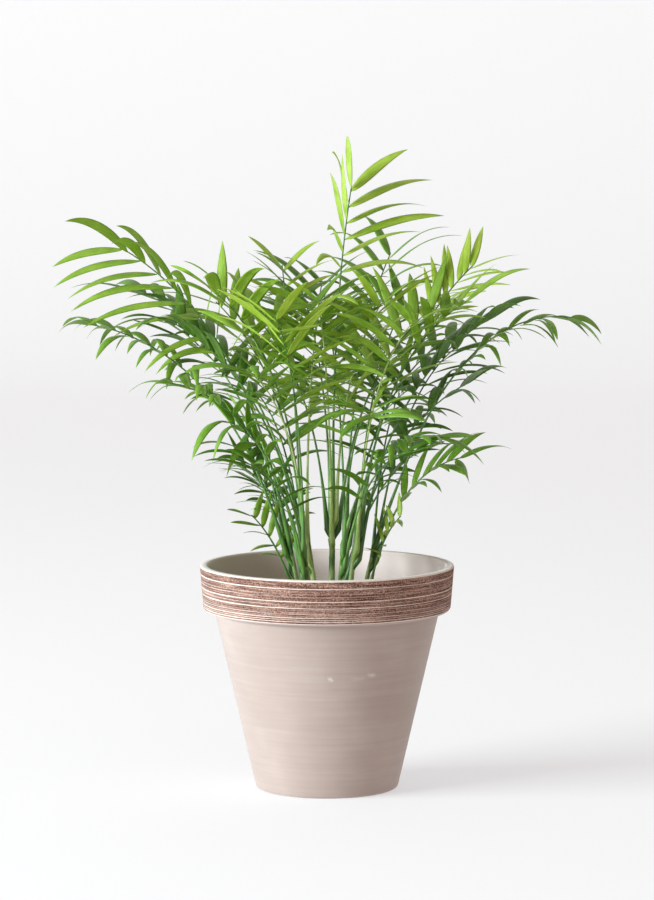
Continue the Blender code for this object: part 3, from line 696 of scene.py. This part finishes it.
# Stalk and cane skin, smooth and waxy, streaked along its length. Each has its darker and lighter green
STALK_GREENS = ("#2c541f", "#64903a")
PALE_STALK_GREENS = ("#7f9d42", "#c3cf86")
CANE_GREENS = ("#4a6e2c", "#b4c27c")


def stem_material(name, greens, rough):
    dark, light = greens
    material, tree = empty_material(name)
    place = add(tree, "ShaderNodeTexCoord").outputs["Object"]
    along = add(tree, "ShaderNodeMapping", {"Vector": place, "Scale": (1, 1, 0.12)}).outputs[0]
    skin, _ = mottled_skin(tree, {"Vector": along, "Scale": 420, "Detail": 3}, 30, 0.5,
                           [(0.38, dark), (0.62, light)], {"Strength": 0.3, "Distance": 0.0004},
                           {"Roughness": rough})
    add(tree, "ShaderNodeOutputMaterial", {"Surface": skin})
    return material


# The collar's combed lines: how far down the collar and how wide, in millimetres, and how clean, as a share
COMB_LINES = (
    (1.2, 0.6, 0.5), (3.4, 0.5, 0.35), (5.6, 0.4, 0.3), (7.9, 0.8, 0.75), (9.6, 0.5, 0.45),
    (11.2, 0.4, 0.3), (12.9, 0.6, 0.5), (15.4, 0.6, 0.55), (17.4, 0.4, 0.4), (19.8, 0.8, 0.75),
    (21.4, 0.4, 0.4), (22.9, 0.6, 0.55), (24.4, 0.4, 0.4), (25.9, 0.8, 0.75), (27.8, 0.5, 0.45),
    (29.5, 0.5, 0.5), (31.5, 0.6, 0.6), (33.2, 0.5, 0.5), (34.9, 0.7, 0.7), (36.8, 0.6, 0.6),
    (38.6, 0.7, 0.7), (41.2, 0.9, 0.6),
)
COMB_DEPTH = 0.0005
COMB_SHIFT = 0.0003  # how far the lines stray up and down together
COMB_MEAN = 0.8  # of its width, that a line has on average
COMB_SWELL = 0.6  # how much that varies round the pot
COMB_EDGE = 1.6  # how sharply a line starts
COAT_TOP = 0.0009  # from the mouth down to the slip
COAT_TOP_STRAYS = 0.0003
COAT_FOOT = 0.0022  # from the slip down to the collar's foot
COAT_FADE = 0.0008  # over which the slip ends
PAINTED_LIGHT_SIDE = 190  # the azimuth towards the window where the slip is drawn paler, as painted light, in degrees
PAINTED_LIGHT_WIDER = 0.6  # how much wider a combed line is there, as painted light, as a share
PAINTED_LIGHT_OFF = 0.3  # how much of the slip is left off there, as painted light
BAND_STEP = 0.00036  # between the rows of the finished collar, and of the rest
BODY_STEP = 0.003
CORNER_STEPS = 5
BAND_FOOT_STEPS = 6
BAND_MARGIN = 0.001  # what lies this near the collar, or above its foot by more than a hair, is the collar
HAIR = 0.0001
WHEEL_DEPTH = 0.00006  # the throwing rings, as shape
WHEEL_TIGHTNESS = 900
LIME_AND_PAINTED_LIGHT_SHARE = 0.75  # how much of the inside is lime and painted light

# Pale scuffs on the body: azimuth in degrees, height, half width and half height in metres
SCUFFS = ((-88, 0.117, 0.003, 0.0022), (-72, 0.118, 0.014, 0.0016), (-64, 0.119, 0.006, 0.0012))
SCUFFS_ABOVE = 0.001


def wander(angle, seed, waves=5):
    """A smooth ring of values from about -1 to 1, for what changes slowly round the pot."""
    draw = random.Random(seed)
    total = 0
    for wave in range(1, waves + 1):
        total += math.sin(wave * angle + draw.uniform(0, 2 * math.pi)) * draw.uniform(0.4, 1) / wave**0.5
    return total / waves**0.5


def curve_corner(before, corner, after, size, steps):
    """Points round a profile's corner."""
    before, corner, after = np.array(before), np.array(corner), np.array(after)
    start = corner + unit(before - corner) * size
    end = corner + unit(after - corner) * size
    shares = [k / steps for k in range(steps + 1)]
    return [tuple(start * (1 - t) ** 2 + corner * 2 * t * (1 - t) + end * t**2) for t in shares]


def closed_rings(rows, turns, end=None):
    """The faces from a first corner over rows of rings, and on to an end corner if there is one."""
    faces = []
    for c in range(turns):
        d = (c + 1) % turns
        faces.append((0, 1 + c, 1 + d))
        for row in range(rows - 1):
            a, b = 1 + row * turns, 1 + (row + 1) * turns
            faces.append((a + c, b + c, b + d, a + d))
        if end:
            last = 1 + (rows - 1) * turns
            faces.append((last + c, end, last + d))
    return faces


def body_radius(height):
    return BASE_RADIUS + (BODY_TOP_RADIUS - BASE_RADIUS) * height / BAND_FOOT


def pot_outline():
    """The pot's profile from the middle of its floor, up the inside, over the mouth and down the outside."""
    floor, neck, mouth = FLOOR + FLOOR_ROUND, BAND_FOOT - NECK_BELOW, BAND_FOOT + NECK_ABOVE
    inside = [(body_radius(height) - WALL, height) for height in (floor, neck)]
    inside.append((RIM_RADIUS - WALL, mouth))
    inner, top = (RIM_RADIUS - WALL, POT_HEIGHT), (RIM_RADIUS, POT_HEIGHT)
    foot, shoulder, base = (BAND_FOOT_RADIUS, BAND_FOOT), (BODY_TOP_RADIUS, BAND_FOOT), (BASE_RADIUS, 0)
    profile = [(inside[0][0] - FLOOR_ROUND, FLOOR), *inside]
    profile += curve_corner(inside[-1], inner, top, RIM_EDGE, CORNER_STEPS)
    profile += curve_corner(inner, top, foot, RIM_EDGE, CORNER_STEPS)
    profile += curve_corner(top, foot, shoulder, BAND_FOOT_EDGE, BAND_FOOT_STEPS)
    profile += [shoulder] + curve_corner(shoulder, base, (0, 0), BASE_EDGE, CORNER_STEPS)
    fine = [profile[0]]
    for a, b in zip(profile, profile[1:]):
        outer_band = a[0] > BAND_FOOT_RADIUS - BAND_MARGIN and a[1] < POT_HEIGHT
        outer_band = outer_band and b[1] > BAND_FOOT - BAND_MARGIN
        count = max(1, round(math.dist(a, b) / (BAND_STEP if outer_band else BODY_STEP)))
        for k in range(1, count + 1):
            fine.append((a[0] + (b[0] - a[0]) * k / count, a[1] + (b[1] - a[1]) * k / count))
    return fine


def collar_coat(down, shift, top, lit, swells):
    """How much slip is left this far down the collar, and how deep the comb has cut, as shares."""
    slip = min(max((down - top) / COAT_FADE, 0), 1)
    # painted light: less slip towards the window, so that side of the collar reads paler
    slip *= 1 - PAINTED_LIGHT_OFF * lit
    slip *= min(max((BAND_HEIGHT - COAT_FOOT - down + shift) / COAT_FADE, 0), 1)
    cut = 0.0
    for (at, wide, clean), swell in zip(COMB_LINES, swells):
        # painted light: the combed lines widen towards the window
        half = wide / 1000 * (COMB_MEAN + COMB_SWELL * swell + PAINTED_LIGHT_WIDER * lit)
        off = abs(down - at / 1000 - shift)
        if half > 0 and off < half:
            bare = clean * min(1, COMB_EDGE * (1 - off / half))
            slip = min(slip, 1 - bare)
            cut = max(cut, bare)
    return slip, cut


def scuff_at(turn, radius, height):
    """How scuffed the clay is there, as a share."""
    scuff = 0
    for azimuth, middle, wide, tall in SCUFFS:
        aside = math.remainder(turn - math.radians(azimuth), 2 * math.pi) * radius
        scuff = max(scuff, 1 - math.hypot(aside / wide, (height - middle) / tall))
    return scuff


def pot_piece(material):
    """The turned pot. Each corner has how much slip, combing, scuff and lime lies there; the slip is thinner
    towards the window and the lime paler than it is, both as painted light.
    """
    outline = pot_outline()
    turns = [2 * math.pi * c / POT_TURNS for c in range(POT_TURNS)]
    shifts = [wander(turn, 11) * COMB_SHIFT for turn in turns]
    tops = [COAT_TOP + COAT_TOP_STRAYS * wander(turn, 40, 9) for turn in turns]
    # how far each column faces the window, for the collar's painted light
    lit_side = [max(0, math.cos(turn - math.radians(PAINTED_LIGHT_SIDE))) ** 2 for turn in turns]
    swells = [[wander(turn, 100 + k, 40) for k in range(len(COMB_LINES))] for turn in turns]
    vertices, slips, combs, scuffs, lime_and_painted_light_shares = [(0, 0, FLOOR)], [0], [0], [0], [1]
    for radius, height in outline:
        down = POT_HEIGHT - height
        outer = radius > RIM_RADIUS - WALL / 2 and height > BAND_FOOT - HAIR
        inner = radius < RIM_RADIUS - WALL + BAND_MARGIN
        inner = inner and (height > BAND_FOOT or radius < body_radius(height) - WALL / 2)
        scuffable = radius < BODY_TOP_RADIUS and height > SCUFFS_ABOVE
        for c, turn in enumerate(turns):
            slip, cut = 0.0, 0.0
            wheel = WHEEL_DEPTH * math.sin(height * WHEEL_TIGHTNESS + 2 * wander(turn, 7, 3))
            if outer:
                slip, cut = collar_coat(down, shifts[c], tops[c], lit_side[c], swells[c])
                wheel = 0
            r = radius - cut * COMB_DEPTH - abs(wheel)
            vertices.append((r * math.cos(turn), r * math.sin(turn), height))
            slips.append(slip)
            combs.append(1 if outer else 0)
            scuffs.append(scuff_at(turn, radius, height) if scuffable else 0)
            # the inside is whitened with lime, partly as painted light on the shaded inside
            lime_and_painted_light_shares.append(LIME_AND_PAINTED_LIGHT_SHARE if inner else 0)
    vertices.append((0, 0, 0))
    for values in (slips, combs, scuffs, lime_and_painted_light_shares):
        values.append(0)
    pot = new_piece("clay_pot", vertices, closed_rings(len(outline), POT_TURNS, len(vertices) - 1), material)
    for name, values in (("slip", slips), ("combed", combs), ("scuff", scuffs), ("bloom", lime_and_painted_light_shares)):
        pot.data.attributes.new(name, "FLOAT", "POINT").data.foreach_set("value", values)
    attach(pot, "root")
    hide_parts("pot")


# The finished soil: its rings and columns, how far it sinks below the solid's top, its bumps and its crumbs
SOIL_RINGS = 46
SOIL_TURNS = 96
SOIL_SUNK = 0.001
SOIL_EDGE_SUNK = 0.003
SOIL_EDGE_FROM = 0.7  # of the way out
SOIL_BUMPS = 60
SOIL_BUMP_WIDTHS = (0.006, 0.018)
SOIL_BUMP_HEIGHTS = (-0.002, 0.0015)
SOIL_HIGHEST = 0.003  # above the solid's top
SOIL_EDGE_DROP = 0.004
CRUMB_SIZE = 0.0028
CRUMBS_EACH_SQUARE_METRE = 42000.0


def new_tree(name, inputs):
    """An empty tree of geometry nodes, and what its inputs give. Each input has its kind."""
    tree = bpy.data.node_groups.new(name, "GeometryNodeTree")
    for label, kind in (("Geometry", "Geometry"), *inputs.items()):
        tree.interface.new_socket(label, in_out="INPUT", socket_type="NodeSocket" + kind)
    tree.interface.new_socket("Geometry", in_out="OUTPUT", socket_type="NodeSocketGeometry")
    return tree, add(tree, "NodeGroupInput").outputs


def crumb_tree():
    """Crumbs strewn over a surface."""
    inputs = {"Crumb size": "Float", "Crumbs per square metre": "Float", "Crumb material": "Material"}
    tree, given = new_tree("strewn crumbs", inputs)
    points = add(tree, "GeometryNodeDistributePointsOnFaces",
                 {"Mesh": given["Geometry"], "Density": given["Crumbs per square metre"], "Seed": 5})
    crumb = add(tree, "GeometryNodeMeshIcoSphere", {"Radius": given["Crumb size"], "Subdivisions": 1})
    turn = add(tree, "FunctionNodeRandomValue", {0: (-3.1, -3.1, -3.1), 1: (3.1, 3.1, 3.1), "Seed": 6},
               data_type="FLOAT_VECTOR")
    size = add(tree, "FunctionNodeRandomValue", {0: (0.3, 0.3, 0.2), 1: (1.3, 0.9, 0.7), "Seed": 7},
               data_type="FLOAT_VECTOR")
    placed = add(tree, "GeometryNodeInstanceOnPoints",
                 {"Points": points.outputs["Points"], "Instance": crumb.outputs["Mesh"],
                  "Rotation": turn.outputs[0], "Scale": size.outputs[0]})
    real = add(tree, "GeometryNodeRealizeInstances", {"Geometry": placed.outputs[0]})
    both = add(tree, "GeometryNodeJoinGeometry", {"Geometry": given["Geometry"]})
    tree.links.new(real.outputs[0], both.inputs["Geometry"])
    finished = add(tree, "GeometryNodeSetMaterial",
                   {"Geometry": both.outputs[0], "Material": given["Crumb material"]})
    add(tree, "NodeGroupOutput", {"Geometry": finished.outputs[0]})
    return tree


def tube_tree():
    """Lines made into tubes, as thick at each point as its thickness says."""
    tree, given = new_tree("tubes along lines", {"Sides": "Int", "Tube material": "Material"})
    line = add(tree, "GeometryNodeMeshToCurve", {"Mesh": given["Geometry"]})
    thick = add(tree, "GeometryNodeInputNamedAttribute", {"Name": "thickness"}, data_type="FLOAT")
    sized = add(tree, "GeometryNodeSetCurveRadius", {"Curve": line.outputs[0], "Radius": thick.outputs[0]})
    ring = add(tree, "GeometryNodeCurvePrimitiveCircle", {"Resolution": given["Sides"], "Radius": 1.0})
    tube = add(tree, "GeometryNodeCurveToMesh",
               {"Curve": sized.outputs[0], "Profile Curve": ring.outputs[0], "Fill Caps": True})
    if "Scale" in tube.inputs:
        tree.links.new(thick.outputs[0], tube.inputs["Scale"])
    real = add(tree, "GeometryNodeRealizeInstances", {"Geometry": tube.outputs[0]})
    finished = add(tree, "GeometryNodeSetMaterial",
                   {"Geometry": real.outputs[0], "Material": given["Tube material"]})
    add(tree, "NodeGroupOutput", {"Geometry": finished.outputs[0]})
    return tree


def plain_mesh(made, tree, values):
    """The object with the tree's result as its plain mesh. The values go to the tree's inputs by name."""
    modifier = made.modifiers.new("made", "NODES")
    modifier.node_group = tree
    for item in tree.interface.items_tree:
        if item.in_out == "INPUT" and item.name in values:
            modifier[item.identifier] = values[item.name]
    made.update_tag()
    bpy.context.view_layer.update()
    mesh = bpy.data.meshes.new_from_object(made.evaluated_get(bpy.context.evaluated_depsgraph_get()))
    made.modifiers.remove(modifier)
    made.data = mesh
    mesh.polygons.foreach_set("use_smooth", [True] * len(mesh.polygons))
    mesh.update()


def tubes(name, lines, sides, material, tree):
    """Lines of points with a thickness at each, as one piece of round tubes."""
    vertices, edges, thickness = [], [], []
    for points, radii in lines:
        first = len(vertices)
        vertices += [tuple(p) for p in points]
        thickness += list(radii)
        edges += [(first + k, first + k + 1) for k in range(len(points) - 1)]
    mesh = bpy.data.meshes.new(name)
    mesh.from_pydata(vertices, edges, [])
    mesh.attributes.new("thickness", "FLOAT", "POINT").data.foreach_set("value", thickness)
    made = placed(name, mesh)
    plain_mesh(made, tree, {"Sides": sides, "Tube material": material})
    bm = bmesh.new()
    bm.from_mesh(made.data)
    bmesh.ops.remove_doubles(bm, verts=bm.verts, dist=SEAM)
    bmesh.ops.recalc_face_normals(bm, faces=bm.faces)
    bm.to_mesh(made.data)
    bm.free()
    return made


def soil_piece(material):
    """The soil's uneven top, down to where the clay hides it."""
    neck = BAND_FOOT - NECK_BELOW
    brim = body_radius(neck) - WALL
    slope = (RIM_RADIUS - WALL - brim) / (NECK_ABOVE + NECK_BELOW)
    reach = brim + slope * (SOIL_TOP - SOIL_EDGE_DROP - neck) - GAP
    draw = random.Random(21)
    bumps = [(draw.uniform(0, 2 * math.pi), draw.uniform(0, 1) ** 0.5 * reach,
              draw.uniform(*SOIL_BUMP_WIDTHS), draw.uniform(*SOIL_BUMP_HEIGHTS)) for _ in range(SOIL_BUMPS)]
    angles = [2 * math.pi * c / SOIL_TURNS for c in range(SOIL_TURNS)]
    vertices = [(0, 0, SOIL_TOP - SOIL_SUNK)]
    for ring in range(1, SOIL_RINGS + 1):
        out = ring / SOIL_RINGS
        edge_drop = SOIL_EDGE_SUNK * max(0, out - SOIL_EDGE_FROM) / (1 - SOIL_EDGE_FROM)
        for angle in angles:
            x, y = reach * out * math.cos(angle), reach * out * math.sin(angle)
            rise = 0
            for at, away, wide, tall in bumps:
                off = math.hypot(x - away * math.cos(at), y - away * math.sin(at)) / wide
                rise += tall * math.exp(-off * off)
            z = SOIL_TOP - SOIL_SUNK - edge_drop + rise * (1 - out**6)
            vertices.append((x, y, min(z, SOIL_TOP + SOIL_HIGHEST)))
    faces = closed_rings(SOIL_RINGS, SOIL_TURNS)
    top, strewn_on = len(vertices), len(faces)
    foot = FLOOR + FLOOR_ROUND + GAP
    for radius, height in ((body_radius(foot) - WALL - GAP, foot), (brim - GAP, neck)):
        vertices += [(radius * math.cos(angle), radius * math.sin(angle), height) for angle in angles]
    vertices.append((0, 0, foot))
    edge_row, foot_row, neck_row = top - SOIL_TURNS, top, top + SOIL_TURNS
    for c in range(SOIL_TURNS):
        d = (c + 1) % SOIL_TURNS
        faces.append((edge_row + c, neck_row + c, neck_row + d, edge_row + d))
        faces.append((neck_row + c, foot_row + c, foot_row + d, neck_row + d))
        faces.append((foot_row + c, len(vertices) - 1, foot_row + d))
    soil = new_piece("potting_soil", vertices, faces, material)
    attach(soil, "root")
    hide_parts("soil")
    strewn = new_piece("soil_crumbs", vertices[:top], faces[:strewn_on], material)
    plain_mesh(strewn, crumb_tree(), {"Crumb size": CRUMB_SIZE, "Crumb material": material,
                                      "Crumbs per square metre": CRUMBS_EACH_SQUARE_METRE})
    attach(strewn, "root")


def cane_line(cane):
    """The cane's axis, with a ring at each node where an old frond has fallen."""
    points, radii = [], []
    for k in range(CANE_LINE_STEPS + 1):
        share = k / CANE_LINE_STEPS
        off = abs(cane.height * share % NODE_SPACING - NODE_SPACING / 2)
        ring = max(0, 1 - off / NODE_HALF)
        points.append(cane_point(cane, share))
        radii.append(cane_radius(cane, share) * (CANE_SLIM + NODE_RISE * ring))
    return points, radii


def stalk_line(cane, rib):
    """The frond's rib, thicker at its foot, which clasps the cane and grows out of it a little lower."""
    points = rib[0]
    share = (points[0] - cane_point(cane, 0)) @ heading(cane.azimuth, cane.lean) / cane.height
    low = max(share - CLASP / cane.height, CLASP_LOWEST)
    line, radii = [], []
    for k in range(CLASP_STEPS):
        t = k / CLASP_STEPS
        axis = cane_point(cane, low + (share - low) * t)
        line.append(axis + (points[0] - cane_point(cane, share)) * t * t * (3 - 2 * t))
        radii.append(cane_radius(cane, min(share, 1)) * (CLASP_START + (1 - CLASP_START) * t))
    for k in range(RIB_STEPS * 2 + 1):
        low = min(k // 2, RIB_STEPS - 1)
        line.append(points[low] + (points[low + 1] - points[low]) * (k / 2 - low))
        up = k / RIB_STEPS / 2
        sheath = SHEATH * max(0, 1 - up / SHEATH_END) ** SHEATH_POWER
        radii.append(rib_radius(up) * (1 - STALK_NARROWING * up) * (STALK_SHARE + sheath))
    return line, radii


def fine_leaf(leaf_args):
    """A leaflet's mesh: vertices, faces and, for each vertex, its place along and across the blade."""
    points, acrosses, uppers, length, width, _ = leaf_path(*leaf_args, steps=FINE_STEPS)
    vertices, places = [], []
    row = [(v, 0) for v in FINE_ACROSS] + [(v, (1 - v * v) ** 0.5) for v in reversed(FINE_ACROSS[1:-1])]
    for n in range(FINE_STEPS):
        u = n / FINE_STEPS
        half = width * leaf_width(u) / 2
        fold = FINE_FOLD * (1 - FOLD_EASES * u)
        for v, under in row:
            deep = half * fold * abs(v) ** FOLD_POWER + FINE_THICKNESS * (1 - FINE_THINS * u) * under
            vertices.append(points[n] + acrosses[n] * half * v - uppers[n] * deep)
            places.append((u * length * PLACE_SCALE, v * half * PLACE_SCALE + PLACE_MIDDLE))
    vertices.append(points[-1])
    places.append((length * PLACE_SCALE, PLACE_MIDDLE))
    faces = [tuple(range(len(row)))]
    for n in range(FINE_STEPS):
        a, b = n * len(row), (n + 1) * len(row)
        for c in range(len(row)):
            d = (c + 1) % len(row)
            last = n == FINE_STEPS - 1
            faces.append((a + d, a + c, b) if last else (a + d, a + c, b + c, b + d))
    return vertices, faces, places


def leaflet_piece(name, leaves, material):
    """Leaflets joined into one piece."""
    vertices, faces, places = [], [], []
    for leaf_args in leaves:
        v, f, p = fine_leaf(leaf_args)
        first = len(vertices)
        vertices += v
        places += p
        faces += [tuple(first + k for k in face) for face in f]
    piece = new_piece(name, vertices, faces, material)
    layer = piece.data.uv_layers.new(name="blade")
    corner_places = np.array(places)[[loop.vertex_index for loop in piece.data.loops]]
    layer.data.foreach_set("uv", corner_places.astype(np.float32).ravel())
    return piece


def grow_plant():
    """The leaflets in one piece for each tone, the stalks in two greens, and the canes."""
    ribs, leaves = grow(FRONDS)
    tree = tube_tree()
    for tone, names in TONES.items():
        chosen = [leaf_args for name in names for leaf_args in leaves[name]]
        piece = leaflet_piece("leaflets_" + tone, chosen, leaf_material(tone))
        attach(piece, "root")
        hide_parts(*["frond_" + name for name in names])
    canes = {cane.name: cane for cane in CANES}
    for name, greens, pale in (("stalks", STALK_GREENS, False), ("pale_stalks", PALE_STALK_GREENS, True)):
        chosen = [frond for frond in FRONDS if (frond.name in PALE_STALKS) == pale]
        lines = [stalk_line(canes[frond.cane], ribs[frond.name]) for frond in chosen]
        skin = stem_material("palm stalk, smooth, " + name, greens, STALK_ROUGHNESS)
        stalks = tubes(name, lines, STALK_SIDES, skin, tree)
        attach(stalks, "root")
        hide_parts(*["frond_" + frond.name for frond in chosen])
    cane_green = stem_material("palm cane, ringed", CANE_GREENS, CANE_ROUGHNESS)
    clump = tubes("canes", [cane_line(cane) for cane in CANES], CANE_FINE_SIDES, cane_green, tree)
    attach(clump, "root")
    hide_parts(*["cane_" + cane.name for cane in CANES])


# The camera: its distance and height in metres, and its downward pitch in degrees
CAMERA_DISTANCE = 3.75
CAMERA_HEIGHT = 0.699
CAMERA_PITCH = 5.767
CAMERA_LENS = 160.3  # millimetres, for a sensor 36 mm along the picture's long side

# The paper sweep: how far it runs, where it turns up and how tightly, in metres. It turns up behind where a
# camera at the back would stand. Lamps of its own make it glow, a little less at the far end
PAPER_HALF_WIDTH = 7.0
PAPER_NEAR = -7.0
PAPER_TURN = 4.2
PAPER_RADIUS = 1.4
PAPER_TOP = 5.0
PAPER_STEPS = 16
PAPER_GLOW = 0.49
PAPER_FAR_GLOW = 0.47
PAPER_GLOW_FROM = 0.5
PAPER_GLOW_TO = 2.6
PAPER_WHITE = "#c3bfbb"
PAPER_LAMPS = "#f5f8ff"

# The window: its distance, its height and the azimuth it stands at, in metres and degrees, what it looks at,
# and its size, watts and colour. The room is lit dimly from all round
WINDOW_DISTANCE = 5.0
WINDOW_HEIGHT = 1.3
WINDOW_AZIMUTH = 204
WINDOW_WIDTH = 3.4
WINDOW_TALL = 1.6
WINDOW_POWER = 475
WINDOW_AIM = 0.25
WINDOW_COLOUR = (0.83, 0.97, 1.04)
ROOM_LIGHT = 0.54
ROOM_COLOUR = "#fff6ee"


def set_stage():
    """A seamless pale sweep, a wide window low on the left, and a dim room all round."""
    profile = [(PAPER_NEAR, 0.0), (PAPER_TURN, 0.0)]
    for k in range(1, PAPER_STEPS + 1):
        angle = math.pi / 2 * k / PAPER_STEPS
        profile.append((PAPER_TURN + PAPER_RADIUS * math.sin(angle), PAPER_RADIUS * (1 - math.cos(angle))))
    profile.append((PAPER_TURN + PAPER_RADIUS, PAPER_TOP))
    vertices = [(x, y, z) for y, z in profile for x in (-PAPER_HALF_WIDTH, PAPER_HALF_WIDTH)]
    faces = [(2 * k, 2 * k + 1, 2 * k + 3, 2 * k + 2) for k in range(len(profile) - 1)]
    material, tree = empty_material("white paper sweep")
    place = add(tree, "ShaderNodeTexCoord").outputs["Object"]
    back = add(tree, "ShaderNodeSeparateXYZ", {"Vector": place}).outputs["Y"]
    strength = add(tree, "ShaderNodeMapRange",
                   {"Value": back, "From Min": PAPER_GLOW_FROM, "From Max": PAPER_GLOW_TO,
                    "To Min": PAPER_GLOW, "To Max": PAPER_FAR_GLOW}).outputs[0]
    paper = add(tree, "ShaderNodeBsdfDiffuse", {"Color": linear(PAPER_WHITE)})
    glow = add(tree, "ShaderNodeEmission", {"Color": linear(PAPER_LAMPS), "Strength": strength})
    both = add(tree, "ShaderNodeAddShader", {0: paper.outputs[0], 1: glow.outputs[0]})
    add(tree, "ShaderNodeOutputMaterial", {"Surface": both.outputs[0]})
    new_piece("paper_sweep", vertices, faces, material)

    world = bpy.data.worlds.new("studio")
    bpy.context.scene.world = world
    world.use_nodes = True
    background = world.node_tree.nodes["Background"]
    background.inputs["Color"].default_value = linear(ROOM_COLOUR)
    background.inputs["Strength"].default_value = ROOM_LIGHT

    light = bpy.data.lights.new("window", "AREA")
    light.shape = "RECTANGLE"
    light.size = WINDOW_WIDTH
    light.size_y = WINDOW_TALL
    light.energy = WINDOW_POWER
    light.color = WINDOW_COLOUR
    lamp = placed("window", light)
    lamp.location = Vector(heading(WINDOW_AZIMUTH, 90) * WINDOW_DISTANCE + UP * WINDOW_HEIGHT)
    lamp.rotation_euler = (Vector((0, 0, WINDOW_AIM)) - lamp.location).to_track_quat("-Z", "Y").to_euler()

    camera = bpy.data.cameras.new("camera")
    camera.lens = CAMERA_LENS
    camera.sensor_width = 36
    eye = placed("camera", camera)
    eye.location = (0, -CAMERA_DISTANCE, CAMERA_HEIGHT)
    eye.rotation_euler = (math.radians(90 - CAMERA_PITCH), 0, 0)
    bpy.context.scene.camera = eye
    bpy.context.scene.view_settings.view_transform = "Standard"


pot_piece(clay_material())
soil_piece(soil_material())
grow_plant()
set_stage()
